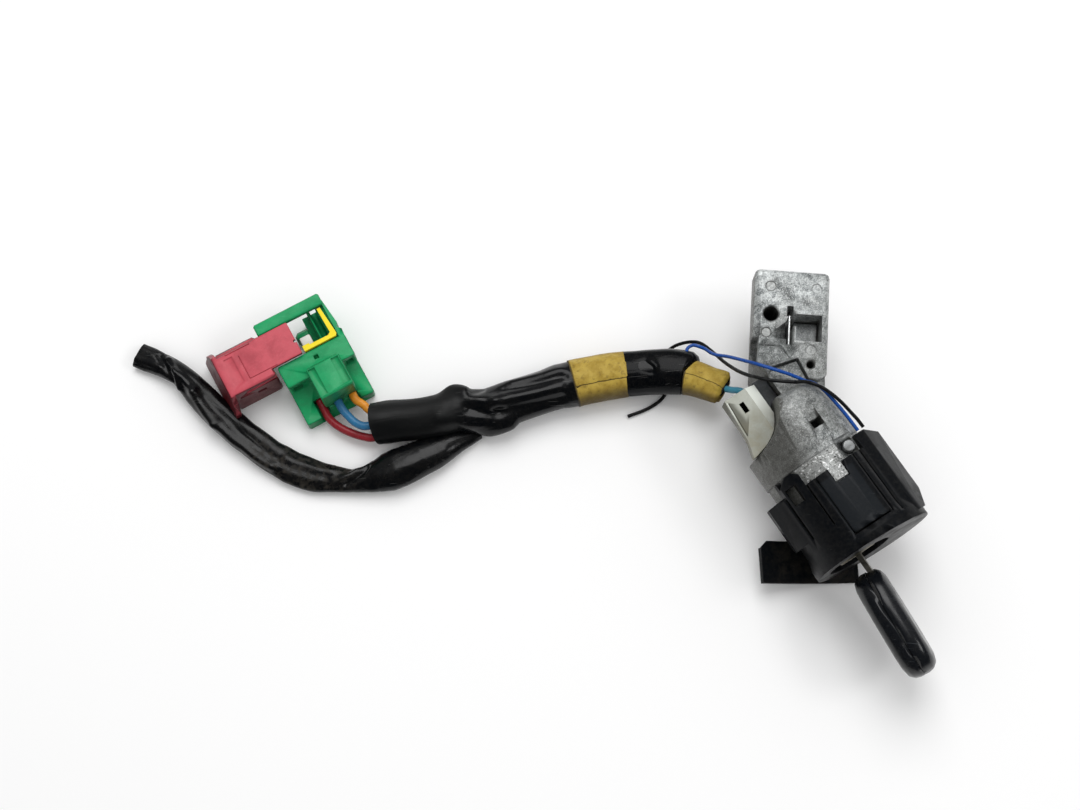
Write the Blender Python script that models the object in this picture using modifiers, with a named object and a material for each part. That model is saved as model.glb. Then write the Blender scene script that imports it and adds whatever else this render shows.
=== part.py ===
"""Ignition switch and steering lock of a vehicle, with its key, harness and connector.

The unit lies on a flat surface (z = 0) as it would on a bench. Lengths below are in
millimetres and become metres in the helpers. The lock frame has the lock axis along Y:
y = 0 is the front rim of the black shroud, the key stands out towards -Y, and the
bracket block, the contact block and the harness lie towards +Y.
"""

import math

import bmesh
import bpy
from mathutils import Matrix, Vector

MM = 0.001

# Place of the lock frame in the part's own frame (middle of the lock's bounding box)
LOCK_X = -10.25
LOCK_Y = -36.8

# Fits
GAP = 0.3
REACH = 2.0

# Lock cylinder
AXIS_Z = 30.0
CYLINDER_X = -1.0
KEY_ROLL = 18.0
PLUG_R = 8.0
PLUG_FACE_R = 9.6
PLUG_LENGTH = 43.5
SLEEVE_WALL = 3.7
SLEEVE_LENGTH = 45.0
KEYWAY_HALF_WIDTH = 1.55
KEYWAY_HALF_HEIGHT = 5.2
WAFER_COUNT = 8
WAFER_FIRST_Y = 8.0
WAFER_PITCH = 3.9
WAFER_THICKNESS = 0.9
WAFER_HALF_WIDTH = 3.7
WAFER_HALF_HEIGHT = 7.0
SHAFT_R = 3.0
SHAFT_END_Y = 76.0
CAM_R = 8.5
CAM_OFFSET = 2.5
CAM_Y = 50.0
CAM_THICKNESS = 4.0

# Casting
BARREL_X = 6.3
BARREL_R = 24.7
BAND_R = 24.1
BAND_Y = 45.6
CASTING_FRONT_Y = 12.0
BARREL_REAR_Y = 78.0
BARREL_REAR_ROUND = 10.0
CYLINDER_BORE_END_Y = 60.0
NECK_LEFT_X = 10.5
NECK_TOP_Z = 40.0
NECK_BOTTOM_Z = 6.0
WINDOW_SIZE = (6.2, 4.1)
WINDOW_AT = (12.5, 57.5)
WINDOW_FLOOR_Z = 40.0
LUG_SIZE = (6.9, 6.3)
LUG_AT = (6.3, 33.75)
LUG_TOP_Z = 56.4
LEDGE_X = 13.1
LEDGE_Y = 46.8
LEDGE_Z = 47.5
PIN_AT = (19.2, 41.2)
PIN_R = 2.9

# Bracket block, in its own frame: u across, v along, turned in the plane
BLOCK_AT = (34.85, 105.35)
BLOCK_TURN = -37.5
BLOCK_HALF_WIDTH = 17.5
BLOCK_V = (-30.0, 24.0)
BLOCK_TOP_Z = 42.0
BLOCK_ROUND = 2.5
FLANGE_V = 6.0
FLANGE_BOTTOM_Z = 27.0
BODY_INSET = 2.0
BODY_LEFT_INSET = 3.4
SCREW_HOLE_AT = (-9.5, 2.0)
SCREW_HOLE_R = 3.4
SCREW_HOLE_FLOOR_Z = 16.0
SMALL_HOLE_AT = (9.5, -21.4)
SMALL_HOLE_R = 1.65
SMALL_HOLE_FLOOR_Z = 30.0
LEVER_SLOT_U = -0.6
LEVER_SLOT_WIDTH = 3.0
LEVER_SLOT_V = (-12.6, 6.2)
LEVER_SLOT_FLOOR_Z = 14.0
LEVER_THICKNESS = 1.2
BOLT_POCKET_U = (2.3, 14.3)
BOLT_POCKET_V = (-10.3, 2.6)
BOLT_TOP_Z = 30.0
BOLT_BOTTOM_Z = 12.0
BOLT_COVER_THICKNESS = 2.0
BOLT_COVER_MARGIN = 2.0
BOLT_SPRING_R = 3.2
BOLT_SPRING_WIRE_R = 0.45
BOLT_SPRING_TURNS = 6
BOLT_SPRING_POCKET_Z = 22.0
EJECTOR_MARKS = ((-10.1, 15.4), (-11.4, -7.3), (9.5, -14.4), (11.3, 15.6))
EJECTOR_MARK_R = 2.4
EJECTOR_MARK_DEPTH = 0.3

# Contact block behind the cylinder
SWITCH_ARC_AT = (-20.0, 87.0)
SWITCH_ARC_R = 26.8
SWITCH_TOP_Z = 43.0
SWITCH_SPLIT_Z = 16.0
SWITCH_BOTTOM_Z = 10.0
SWITCH_REAR_Y = 89.5
SWITCH_RIGHT_X = 3.2
SWITCH_BEVEL_X = -2.8
SWITCH_BEVEL_DROP = 5.5
SWITCH_WALL = 1.6
SWITCH_LEFT_X = -15.4
SWITCH_CAP_DEPTH = 5.0
SWITCH_LEAN = 0.26
BASE_SIDE_TOP_Z = 34.0
BASE_RIGHT_X = 10.0
BASE_REAR_Y = 91.0
ROTOR_R = 5.0
ROTOR_Y = (72.0, 85.5)
CONTACT_THICKNESS = 0.7
CONTACT_WIDTH = 2.6
CONTACT_REACH = 3.6
CONTACT_COUNT = 3
CONTACT_PITCH = 4.6

# Shroud
SHROUD_WALL = 2.9
RIM_STEP = 1.7
RIM_LENGTH = 7.0
FRONT_WALL = 2.4
FRONT_Y = -1.6
FRONT_TURN = -2.9
FRONT_LEAN = -3.8
SHROUD_REAR_Y = 37.0
TONGUE_REAR_Y = 45.0
TONGUE_X = (-16.9, -8.4)
TONGUE_WINDOW_X = (-16.0, -11.5)
TONGUE_WINDOW_Y = (31.8, 40.0)
SLIT_WIDTH = 0.7
SLIT_FRONT_Y = 15.5
FLAP_X = (-3.6, 16.7)
FLAP_FRONT_Y = 7.0
FLAP_TOP_Z = 57.2
GROOVE_WIDTH = 0.8
GROOVE_DEPTH = 1.3
FRONT_OPENING_R = 15.4
WING_ROOT_AT = (-1.0, -10.7)
WING_HEADING = 149.3
WING_LENGTH = 47.0
WING_WIDTH = 19.8
WING_THICKNESS = 2.3
WING_RISE = 11.0

# Key
BLADE_HALF_THICKNESS = 1.2
BLADE_HALF_HEIGHT = 4.2
BLADE_TIP_Y = 38.0
BLADE_ROOT_Y = -19.0
HEAD_FRONT_Y = -8.6
HEAD_LENGTH = 51.5
HEAD_HALF_HEIGHT = 17.0
HEAD_NECK_HALF_HEIGHT = 11.0
HEAD_THICKNESS = 15.0
HEAD_SIDE_OFFSET = -2.5
HEAD_YAW = -4.0
HEAD_ROUND = 5.4
CHIP_SIZE = (3.0, 12.0, 6.0)

# Connector, in its own frame
CONNECTOR_AT = (-162.2, 214.6)
CONNECTOR_TURN = -4.0
SLIDER_X = (-40.6, -1.5)
SLIDER_Y = (5.9, 23.4)
SLIDER_LOW_Y = 2.4
SLIDER_Z = (1.0, 25.0)
SLIDER_WALL = 2.2
SLIDER_TRAVEL = 15.6
WIRE_R = 2.0
WIRE_HOLES = ((-5.0, 5.2), (2.6, 9.8), (10.4, 9.4))
HOUSING_X = (-15.4, 20.2)
HOUSING_BASE_Y = (-22.4, 1.0)
HOUSING_BASE_TOP_Z = 9.0
PLATE_Y = (-5.6, 6.2)
PLATE_TOP_Z = 22.0
PLATE_THICKNESS = 2.6
WIRE_BLOCK_X = (-4.0, 13.2)
WIRE_BLOCK_Y = (-19.0, -2.4)
WIRE_BLOCK_TOP_Z = 26.0
BAR_Z = (20.8, 24.0)
WINDOW_WALL_X = 13.6
WINDOW_WALL_TOP_Z = 20.0

# Harness
SLEEVE_R = 9.0
TAPE_R = 9.6
REAR_TAPE_R = 7.6
FREE_SLEEVE_R = 3.6
SIGNAL_WIRE_R = 0.85
HARNESS_SLEEVE_LENGTH = 97
TAPE_BAND_LENGTH = 25
REAR_SLEEVE_LENGTH = 30
REAR_TAPE_LENGTH = 20


# Scene
for stale in list(bpy.data.objects):
    bpy.data.objects.remove(stale, do_unlink=True)

part_collection = bpy.data.collections.new("ignition_switch")
cutter_collection = bpy.data.collections.new("cutters")
frame_collection = bpy.data.collections.new("frames")
for group in (part_collection, cutter_collection, frame_collection):
    bpy.context.scene.collection.children.link(group)


# Helpers
def frame(name, place, parent=None, turn_z=0.0, roll_y=0.0, lean_x=0.0):
    """An empty that carries a local frame: place in mm, then its turns about X, Y and Z."""
    empty = bpy.data.objects.new(name, None)
    frame_collection.objects.link(empty)
    empty.location = Vector(place) * MM
    empty.rotation_euler = (math.radians(lean_x), math.radians(roll_y), math.radians(turn_z))
    empty.parent = parent
    return empty


def tool(mesh, parent):
    """A cutter or guide: seen as wire, left out of the model."""
    shape = bpy.data.objects.new("tool", mesh)
    cutter_collection.objects.link(shape)
    shape.parent = parent
    shape.hide_render = True
    shape.display_type = "WIRE"
    return shape


def finished(shape, name, colour, roughness, metallic=0.0, sharp_angle=35.0):
    """Turn a tool into a named piece of the part with its own material."""
    shape.name = name
    shape.data.name = name
    shape.hide_render = False
    shape.display_type = "TEXTURED"
    cutter_collection.objects.unlink(shape)
    part_collection.objects.link(shape)
    material = bpy.data.materials.new(name)
    material.use_nodes = True
    shader = material.node_tree.nodes["Principled BSDF"]
    shader.inputs["Base Color"].default_value = (*colour, 1.0)
    shader.inputs["Roughness"].default_value = roughness
    shader.inputs["Metallic"].default_value = metallic
    shape.data.materials.append(material)
    if shape.type == "MESH":
        shape.data.shade_smooth()
        shape.data.set_sharp_from_angle(angle=math.radians(sharp_angle))
    return shape


def box(low, high, parent):
    """A box from its low to its high corner."""
    mesh = bpy.data.meshes.new("box")
    cube = bmesh.new()
    bmesh.ops.create_cube(cube, size=1.0)
    low = Vector(low) * MM
    high = Vector(high) * MM
    bmesh.ops.scale(cube, vec=high - low, verts=cube.verts)
    bmesh.ops.translate(cube, vec=(low + high) / 2, verts=cube.verts)
    cube.to_mesh(mesh)
    cube.free()
    return tool(mesh, parent)


def rod(radius, start, end, parent, end_radius=None, segments=24):
    """A cylinder, or a cone, between two points."""
    mesh = bpy.data.meshes.new("rod")
    start = Vector(start) * MM
    end = Vector(end) * MM
    along = end - start
    cone = bmesh.new()
    bmesh.ops.create_cone(
        cone,
        cap_ends=True,
        segments=segments,
        radius1=radius * MM,
        radius2=(radius if end_radius is None else end_radius) * MM,
        depth=along.length,
    )
    turn = along.to_track_quat("Z", "Y").to_matrix().to_4x4()
    bmesh.ops.transform(cone, matrix=Matrix.Translation((start + end) / 2) @ turn, verts=cone.verts)
    cone.to_mesh(mesh)
    cone.free()
    return tool(mesh, parent)


def to_mesh_tool(curve_object):
    """A mesh copy of a curve object with its caps welded; the curve is removed."""
    bpy.context.view_layer.update()
    evaluated = curve_object.evaluated_get(bpy.context.evaluated_depsgraph_get())
    mesh = bpy.data.meshes.new_from_object(evaluated)
    weld = bmesh.new()
    weld.from_mesh(mesh)
    bmesh.ops.remove_doubles(weld, verts=weld.verts, dist=1e-6)
    bmesh.ops.recalc_face_normals(weld, faces=weld.faces)
    weld.to_mesh(mesh)
    weld.free()
    shape = tool(mesh, curve_object.parent)
    shape.matrix_local = curve_object.matrix_local.copy()
    bpy.data.objects.remove(curve_object, do_unlink=True)
    return shape


def slab(outline, low, high, parent, plane="XY"):
    """A flat outline made thick from low to high along the plane's normal.

    plane XY stands on Z. Plane XZ runs along Y, and plane YZ runs along X.
    """
    curve = bpy.data.curves.new("outline", "CURVE")
    curve.dimensions = "2D"
    curve.fill_mode = "BOTH"
    curve.extrude = (high - low) / 2 * MM
    spline = curve.splines.new("POLY")
    spline.points.add(len(outline) - 1)
    for point, (across, up) in zip(spline.points, outline):
        point.co = (across * MM, up * MM, 0.0, 1.0)
    spline.use_cyclic_u = True
    shape = bpy.data.objects.new("outline", curve)
    cutter_collection.objects.link(shape)
    shape.parent = parent
    middle = (high + low) / 2 * MM
    if plane == "XY":
        shape.location = (0.0, 0.0, middle)
    elif plane == "XZ":
        shape.rotation_euler = (math.radians(90.0), 0.0, 0.0)
        shape.location = (0.0, middle, 0.0)
    else:
        shape.rotation_euler = (math.radians(90.0), 0.0, math.radians(90.0))
        shape.location = (middle, 0.0, 0.0)
    return to_mesh_tool(shape)


def turned(profile, parent, centre, steps=40, closed=False):
    """A shape turned about a line along +Y through centre (x, z).

    profile is (radius, y), from the rear down the outer side to the front.
    """
    mesh = bpy.data.meshes.new("profile")
    points = [(radius * MM, 0.0, y * MM) for radius, y in profile]
    edges = [(i, i + 1) for i in range(len(points) - 1)]
    if closed:
        edges.append((len(points) - 1, 0))
    mesh.from_pydata(points, edges, [])
    shape = tool(mesh, parent)
    shape.rotation_euler = (math.radians(-90.0), 0.0, 0.0)
    shape.location = (centre[0] * MM, 0.0, centre[1] * MM)
    screw = shape.modifiers.new("Turn", "SCREW")
    screw.axis = "Z"
    screw.angle = math.radians(360.0)
    screw.steps = steps
    screw.render_steps = steps
    screw.use_merge_vertices = True
    screw.merge_threshold = 1e-5
    return shape


def tube(points, radius, parent, sides=2):
    """A round bar along a list of points, with closed ends."""
    curve = bpy.data.curves.new("route", "CURVE")
    curve.dimensions = "3D"
    curve.bevel_depth = radius * MM
    curve.bevel_resolution = sides
    curve.use_fill_caps = True
    spline = curve.splines.new("POLY")
    spline.points.add(len(points) - 1)
    for point, place in zip(spline.points, points):
        point.co = (*(Vector(place) * MM), 1.0)
    shape = bpy.data.objects.new("route", curve)
    cutter_collection.objects.link(shape)
    shape.parent = parent
    return to_mesh_tool(shape)


def arc(centre, radius, first, last, count):
    """Points on an arc, angles in degrees."""
    angles = [math.radians(first + (last - first) * i / (count - 1)) for i in range(count)]
    return [(centre[0] + radius * math.cos(a), centre[1] + radius * math.sin(a)) for a in angles]


def smooth_route(points, spacing):
    """Points read from a smooth curve (Catmull-Rom) through the given points."""
    knots = [Vector(p) for p in points]
    knots = [2 * knots[0] - knots[1], *knots, 2 * knots[-1] - knots[-2]]
    route = []
    for a, b, c, d in zip(knots, knots[1:], knots[2:], knots[3:]):
        count = max(1, round((c - b).length / spacing))
        for i in range(count):
            t = i / count
            route.append(
                0.5 * ((2 * b) + (c - a) * t + (2 * a - 5 * b + 4 * c - d) * t**2
                       + (3 * b - a - 3 * c + d) * t**3)
            )
    route.append(knots[-2])
    return route


def groove(start, end, width, low, high, parent):
    """A straight groove cutter between two points of the plane."""
    a = Vector(start)
    b = Vector(end)
    along = (b - a).normalized()
    side = Vector((-along.y, along.x)) * width / 2
    return slab([a + side, a - side, b - side, b + side], low, high, parent)


def boolean(target, operand, operation):
    """Cut, join or keep the overlap of target with operand."""
    step = target.modifiers.new(operation.title(), "BOOLEAN")
    step.operation = operation
    step.solver = "EXACT"
    step.object = operand
    return target


def cut(target, *cutters):
    """Take each cutter away from target."""
    for cutter in cutters:
        boolean(target, cutter, "DIFFERENCE")
    return target


def join(target, *pieces):
    """Join each piece to target as one casting or moulding."""
    for piece in pieces:
        boolean(target, piece, "UNION")
    return target


def rounded(target, width, segments=2, angle=40.0):
    """Round the sharp edges of target."""
    step = target.modifiers.new("Round", "BEVEL")
    step.width = width * MM
    step.segments = segments
    step.limit_method = "ANGLE"
    step.angle_limit = math.radians(angle)
    step.use_clamp_overlap = True
    return target


# Frames: one for each body and for each turned group of shapes
lock_frame = frame("lock_frame", (LOCK_X, LOCK_Y, 0.0))
block_frame = frame("block_frame", (*BLOCK_AT, 0.0), lock_frame, turn_z=BLOCK_TURN)
cylinder_axis = frame("cylinder_axis", (CYLINDER_X, 0.0, AXIS_Z), lock_frame, roll_y=-KEY_ROLL)
key_axis = frame("key_axis", (0.0, 0.0, 0.0), cylinder_axis)
head_frame = frame("head_frame", (HEAD_SIDE_OFFSET, HEAD_FRONT_Y, 0.0), key_axis, turn_z=HEAD_YAW)
front_plane = frame(
    "front_plane", (BARREL_X, FRONT_Y, AXIS_Z), lock_frame, turn_z=FRONT_TURN, lean_x=FRONT_LEAN
)
bolt_axis = frame(
    "bolt_axis",
    (sum(BOLT_POCKET_U) / 2, sum(BOLT_POCKET_V) / 2, 0.0),
    block_frame,
)
connector_frame = frame("connector_frame", (*CONNECTOR_AT, 0.0), lock_frame, turn_z=CONNECTOR_TURN)
slider_axis = frame("slider_axis", (0.0, 0.0, 0.0), connector_frame)

CYLINDER_CENTRE = (CYLINDER_X, AXIS_Z)
BARREL_CENTRE = (BARREL_X, AXIS_Z)
SLEEVE_BORE_R = PLUG_R + GAP
SLEEVE_OUTER_R = SLEEVE_BORE_R + SLEEVE_WALL
HOUSING_BORE_R = SLEEVE_OUTER_R + GAP
SHROUD_BORE_R = BAND_R + GAP
SHROUD_R = SHROUD_BORE_R + SHROUD_WALL
RIM_R = SHROUD_R + RIM_STEP
HOLE_TOP_Z = BLOCK_TOP_Z + REACH
ABOVE_Z = AXIS_Z + RIM_R + REACH


def barrel_profile():
    """Half section of the barrel, with its rounded rear end."""
    round_centre = (BARREL_R - BARREL_REAR_ROUND, BARREL_REAR_Y - BARREL_REAR_ROUND)
    corner = arc(round_centre, BARREL_REAR_ROUND, 90.0, 0.0, 6)
    return [
        (0.0, BARREL_REAR_Y),
        *corner,
        (BARREL_R, BAND_Y),
        (BAND_R, BAND_Y),
        (BAND_R, CASTING_FRONT_Y),
        (0.0, CASTING_FRONT_Y),
    ]


def bracket_block():
    """The block that is bolted to the column, with rounded edges and a thinner flange end."""
    block = box(
        (-BLOCK_HALF_WIDTH, BLOCK_V[0], FLANGE_BOTTOM_Z),
        (BLOCK_HALF_WIDTH, BLOCK_V[1], BLOCK_TOP_Z),
        block_frame,
    )
    rounded(block, BLOCK_ROUND, 3)
    body = box(
        (-BLOCK_HALF_WIDTH + BODY_LEFT_INSET, BLOCK_V[0] + BODY_INSET, 0.0),
        (BLOCK_HALF_WIDTH - BODY_INSET, FLANGE_V, BLOCK_TOP_Z - BLOCK_ROUND),
        block_frame,
    )
    rounded(body, BLOCK_ROUND, 2)
    join(block, body)
    corner = 7.0
    bevel_corner = slab(
        [
            (BLOCK_HALF_WIDTH - corner, BLOCK_V[0] - REACH),
            (BLOCK_HALF_WIDTH + REACH, BLOCK_V[0] - REACH),
            (BLOCK_HALF_WIDTH + REACH, BLOCK_V[0] + corner),
        ],
        -REACH,
        HOLE_TOP_Z,
        block_frame,
    )
    return cut(block, bevel_corner)


def block_recesses():
    """Holes, pockets, steps and mould marks in the top of the block."""
    top = HOLE_TOP_Z
    screw_u, screw_v = SCREW_HOLE_AT
    small_u, small_v = SMALL_HOLE_AT
    chamfer = 0.9
    tools = [
        rod(SCREW_HOLE_R, (screw_u, screw_v, SCREW_HOLE_FLOOR_Z), (screw_u, screw_v, top), block_frame),
        rod(
            SCREW_HOLE_R,
            (screw_u, screw_v, BLOCK_TOP_Z - chamfer),
            (screw_u, screw_v, BLOCK_TOP_Z + chamfer),
            block_frame,
            end_radius=SCREW_HOLE_R + 2 * chamfer,
        ),
        rod(SMALL_HOLE_R, (small_u, small_v, SMALL_HOLE_FLOOR_Z), (small_u, small_v, top), block_frame, segments=16),
        rod(
            SMALL_HOLE_R,
            (small_u, small_v, BLOCK_TOP_Z - chamfer),
            (small_u, small_v, BLOCK_TOP_Z + chamfer),
            block_frame,
            end_radius=SMALL_HOLE_R + 2 * chamfer,
            segments=16,
        ),
        box(
            (LEVER_SLOT_U - LEVER_SLOT_WIDTH / 2, LEVER_SLOT_V[0], LEVER_SLOT_FLOOR_Z),
            (LEVER_SLOT_U + LEVER_SLOT_WIDTH / 2, LEVER_SLOT_V[1], top),
            block_frame,
        ),
        box(
            (BOLT_POCKET_U[0], BOLT_POCKET_V[0], -REACH),
            (BOLT_POCKET_U[1], BOLT_POCKET_V[1], top),
            block_frame,
        ),
        box(
            (LEVER_SLOT_U + LEVER_SLOT_WIDTH / 2 - 0.2, -3.6, BOLT_BOTTOM_Z + 10.0),
            (BOLT_POCKET_U[0] + 0.3, 1.0, top),
            block_frame,
        ),
        box(
            (BOLT_POCKET_U[0] - BOLT_COVER_MARGIN, BOLT_POCKET_V[0] - BOLT_COVER_MARGIN, -REACH),
            (BOLT_POCKET_U[1] + BOLT_COVER_MARGIN, BOLT_POCKET_V[1] + BOLT_COVER_MARGIN, BOLT_COVER_THICKNESS + 2 * GAP),
            block_frame,
        ),
        slab([(-2.0, -1.1), (-7.1, -5.5), (-7.0, -10.1), (-2.0, -10.1)], BLOCK_TOP_Z - 5.0, top, block_frame),
        slab(
            [(-19.0, -13.3), (-4.1, -13.2), (0.5, -19.3), (-8.3, -23.6), (-19.0, -23.6)],
            BLOCK_TOP_Z - 1.0,
            top,
            block_frame,
        ),
        slab(
            [(3.5, -19.2), (-8.3, -24.2), (-12.0, -33.0), (11.2, -33.0)],
            NECK_TOP_Z,
            top,
            block_frame,
        ),
        groove((-9.0, -24.5), (3.9, -19.0), 0.9, NECK_TOP_Z - 2.0, top, block_frame),
        groove((3.2, -18.8), (10.6, -31.6), 0.9, NECK_TOP_Z - 2.0, top, block_frame),
        box((-19.0, -24.0, BLOCK_TOP_Z - 8.0), (-14.6, -9.5, top), block_frame),
    ]
    for u, v in EJECTOR_MARKS:
        tools.append(
            rod(EJECTOR_MARK_R, (u, v, BLOCK_TOP_Z - EJECTOR_MARK_DEPTH), (u, v, top), block_frame, segments=16)
        )
    return tools


def lock_housing():
    """The zinc casting: barrel, neck and bracket block in one piece."""
    casting = turned(barrel_profile(), lock_frame, BARREL_CENTRE, steps=48)
    neck_outline = [
        (NECK_LEFT_X, 66.0),
        (BARREL_X + 20.0, 66.0),
        (34.0, 77.5),
        (44.0, 95.0),
        (26.0, 108.0),
        (NECK_LEFT_X, 97.6),
    ]
    neck = slab(neck_outline, NECK_BOTTOM_Z, NECK_TOP_Z, lock_frame)
    lug_x, lug_y = LUG_AT
    lug = box(
        (lug_x - LUG_SIZE[0] / 2, lug_y - LUG_SIZE[1] / 2, AXIS_Z + BAND_R - 4.0),
        (lug_x + LUG_SIZE[0] / 2, lug_y + LUG_SIZE[1] / 2, LUG_TOP_Z),
        lock_frame,
    )
    join(casting, neck, bracket_block())
    left_of_neck = box((-30.0, 79.0, -REACH), (NECK_LEFT_X, 112.0, ABOVE_Z), lock_frame)
    seat = rod(
        SWITCH_ARC_R + GAP,
        (*SWITCH_ARC_AT, -REACH),
        (*SWITCH_ARC_AT, ABOVE_Z),
        lock_frame,
        segments=72,
    )
    ledge = box(
        (LEDGE_X, CASTING_FRONT_Y - REACH, LEDGE_Z),
        (BARREL_X + BARREL_R + REACH, LEDGE_Y, ABOVE_Z),
        lock_frame,
    )
    window = box(
        (WINDOW_AT[0] - WINDOW_SIZE[0] / 2, WINDOW_AT[1] - WINDOW_SIZE[1] / 2, WINDOW_FLOOR_Z),
        (WINDOW_AT[0] + WINDOW_SIZE[0] / 2, WINDOW_AT[1] + WINDOW_SIZE[1] / 2, ABOVE_Z),
        lock_frame,
    )
    bore = rod(
        HOUSING_BORE_R,
        (CYLINDER_X, CASTING_FRONT_Y - REACH, AXIS_Z),
        (CYLINDER_X, CYLINDER_BORE_END_Y, AXIS_Z),
        lock_frame,
        segments=40,
    )
    shaft_hole = rod(
        ROTOR_R + 2 * GAP,
        (CYLINDER_X, CYLINDER_BORE_END_Y - REACH, AXIS_Z),
        (CYLINDER_X, BARREL_REAR_Y + REACH, AXIS_Z),
        lock_frame,
    )
    pin_hole = rod(PIN_R + GAP, (*PIN_AT, AXIS_Z + 4.0), (*PIN_AT, ABOVE_Z), lock_frame, segments=20)
    cut(casting, left_of_neck, seat, ledge)
    join(casting, lug)
    cut(casting, window, bore, shaft_hole, pin_hole, *block_recesses())
    return finished(casting, "lock_housing", (0.55, 0.57, 0.57), 0.45, 0.8)


def lock_small_pieces():
    """Pin, plate, cover and spring that sit in the casting."""
    pin = rod(PIN_R, (*PIN_AT, AXIS_Z + 4.0 + GAP), (*PIN_AT, LEDGE_Z + 2.6), lock_frame, segments=20)
    rounded(pin, 0.6)
    finished(pin, "retaining_pin", (0.75, 0.75, 0.74), 0.25, 1.0)

    plate = box(
        (LEVER_SLOT_U - LEVER_THICKNESS / 2, LEVER_SLOT_V[0] + GAP, LEVER_SLOT_FLOOR_Z + GAP),
        (LEVER_SLOT_U + LEVER_THICKNESS / 2, LEVER_SLOT_V[1] - 4.0, BLOCK_TOP_Z - 1.5),
        block_frame,
    )
    rounded(plate, 0.3, 1)
    finished(plate, "guide_plate", (0.8, 0.8, 0.8), 0.2, 1.0)

    margin = BOLT_COVER_MARGIN - GAP
    cover = box(
        (BOLT_POCKET_U[0] - margin, BOLT_POCKET_V[0] - margin, GAP),
        (BOLT_POCKET_U[1] + margin, BOLT_POCKET_V[1] + margin, GAP + BOLT_COVER_THICKNESS),
        block_frame,
    )
    rounded(cover, 0.4, 1)
    finished(cover, "bolt_cover", (0.5, 0.5, 0.48), 0.4, 1.0)

    start = GAP + BOLT_COVER_THICKNESS + GAP + BOLT_SPRING_WIRE_R
    rise = BOLT_SPRING_POCKET_Z - GAP - BOLT_SPRING_WIRE_R - start
    per_turn = 7
    steps = per_turn * BOLT_SPRING_TURNS
    helix = []
    for i in range(steps + 1):
        angle = 2 * math.pi * i / per_turn
        helix.append(
            (BOLT_SPRING_R * math.cos(angle), BOLT_SPRING_R * math.sin(angle), start + rise * i / steps)
        )
    spring = tube(helix, BOLT_SPRING_WIRE_R, bolt_axis, sides=1)
    finished(spring, "bolt_spring", (0.6, 0.6, 0.6), 0.3, 1.0)


def lock_bolt():
    """The square bolt that locks the steering column; a blind hole below takes its spring."""
    half_u = (BOLT_POCKET_U[1] - BOLT_POCKET_U[0]) / 2 - GAP
    half_v = (BOLT_POCKET_V[1] - BOLT_POCKET_V[0]) / 2 - GAP
    bolt = box((-half_u, -half_v, BOLT_BOTTOM_Z), (half_u, half_v, BOLT_TOP_Z), bolt_axis)
    rounded(bolt, 0.8)
    pocket_r = BOLT_SPRING_R + BOLT_SPRING_WIRE_R + GAP
    cut(bolt, rod(pocket_r, (0, 0, BOLT_BOTTOM_Z - REACH), (0, 0, BOLT_SPRING_POCKET_Z), bolt_axis))
    finished(bolt, "lock_bolt", (0.72, 0.73, 0.73), 0.3, 1.0)


def cylinder_sleeve():
    """The zinc sleeve that carries the plug, with a locking groove above and below."""
    front_r = HOUSING_BORE_R + 2.4
    profile = [
        (SLEEVE_BORE_R, SLEEVE_LENGTH),
        (SLEEVE_OUTER_R, SLEEVE_LENGTH),
        (SLEEVE_OUTER_R, 3.0),
        (front_r, 3.0),
        (front_r, 0.6),
        (PLUG_FACE_R + GAP, 0.6),
        (PLUG_FACE_R + GAP, 2.4),
        (SLEEVE_BORE_R, 2.4),
    ]
    sleeve = turned(profile, lock_frame, CYLINDER_CENTRE, steps=36, closed=True)
    groove_r = SLEEVE_BORE_R + SLEEVE_WALL * 0.6
    locking_groove = box((-2.6, 6.0, -groove_r), (2.6, 40.0, groove_r), cylinder_axis)
    cut(sleeve, locking_groove)
    finished(sleeve, "cylinder_sleeve", (0.6, 0.61, 0.6), 0.4, 0.9)


def plug():
    """The turning plug with its keyway and a slot for each wafer."""
    profile = [
        (0.0, PLUG_LENGTH),
        (PLUG_R, PLUG_LENGTH),
        (PLUG_R, 2.1),
        (PLUG_FACE_R, 2.1),
        (PLUG_FACE_R, 0.4),
        (PLUG_FACE_R - 0.8, -0.4),
        (0.0, -0.4),
    ]
    body = turned(profile, cylinder_axis, (0.0, 0.0))
    keyway = box(
        (-KEYWAY_HALF_WIDTH, -REACH, -KEYWAY_HALF_HEIGHT),
        (KEYWAY_HALF_WIDTH, BLADE_TIP_Y + REACH, KEYWAY_HALF_HEIGHT),
        cylinder_axis,
    )
    cut(body, keyway)
    half = WAFER_THICKNESS / 2 + GAP
    for i in range(WAFER_COUNT):
        y = WAFER_FIRST_Y + i * WAFER_PITCH
        cut(
            body,
            box(
                (-WAFER_HALF_WIDTH - GAP, y - half, -PLUG_R - REACH),
                (WAFER_HALF_WIDTH + GAP, y + half, PLUG_R + REACH),
                cylinder_axis,
            ),
        )
    finished(body, "plug", (0.62, 0.58, 0.46), 0.35, 1.0)


def wafers():
    """Brass wafers, each with a window for the blade, set up and down in turn."""
    half = WAFER_THICKNESS / 2
    window_width = BLADE_HALF_THICKNESS + 2 * GAP
    window_height = BLADE_HALF_HEIGHT + 0.8
    for i in range(WAFER_COUNT):
        y = WAFER_FIRST_Y + i * WAFER_PITCH
        lift = 0.4 if i % 2 else -0.4
        wafer = box(
            (-WAFER_HALF_WIDTH, y - half, -WAFER_HALF_HEIGHT),
            (WAFER_HALF_WIDTH, y + half, WAFER_HALF_HEIGHT),
            cylinder_axis,
        )
        window = box(
            (-window_width, y - REACH, lift - window_height),
            (window_width, y + REACH, lift + window_height),
            cylinder_axis,
        )
        cut(wafer, window)
        finished(wafer, f"wafer_{i + 1}", (0.75, 0.6, 0.28), 0.3, 1.0)


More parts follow.
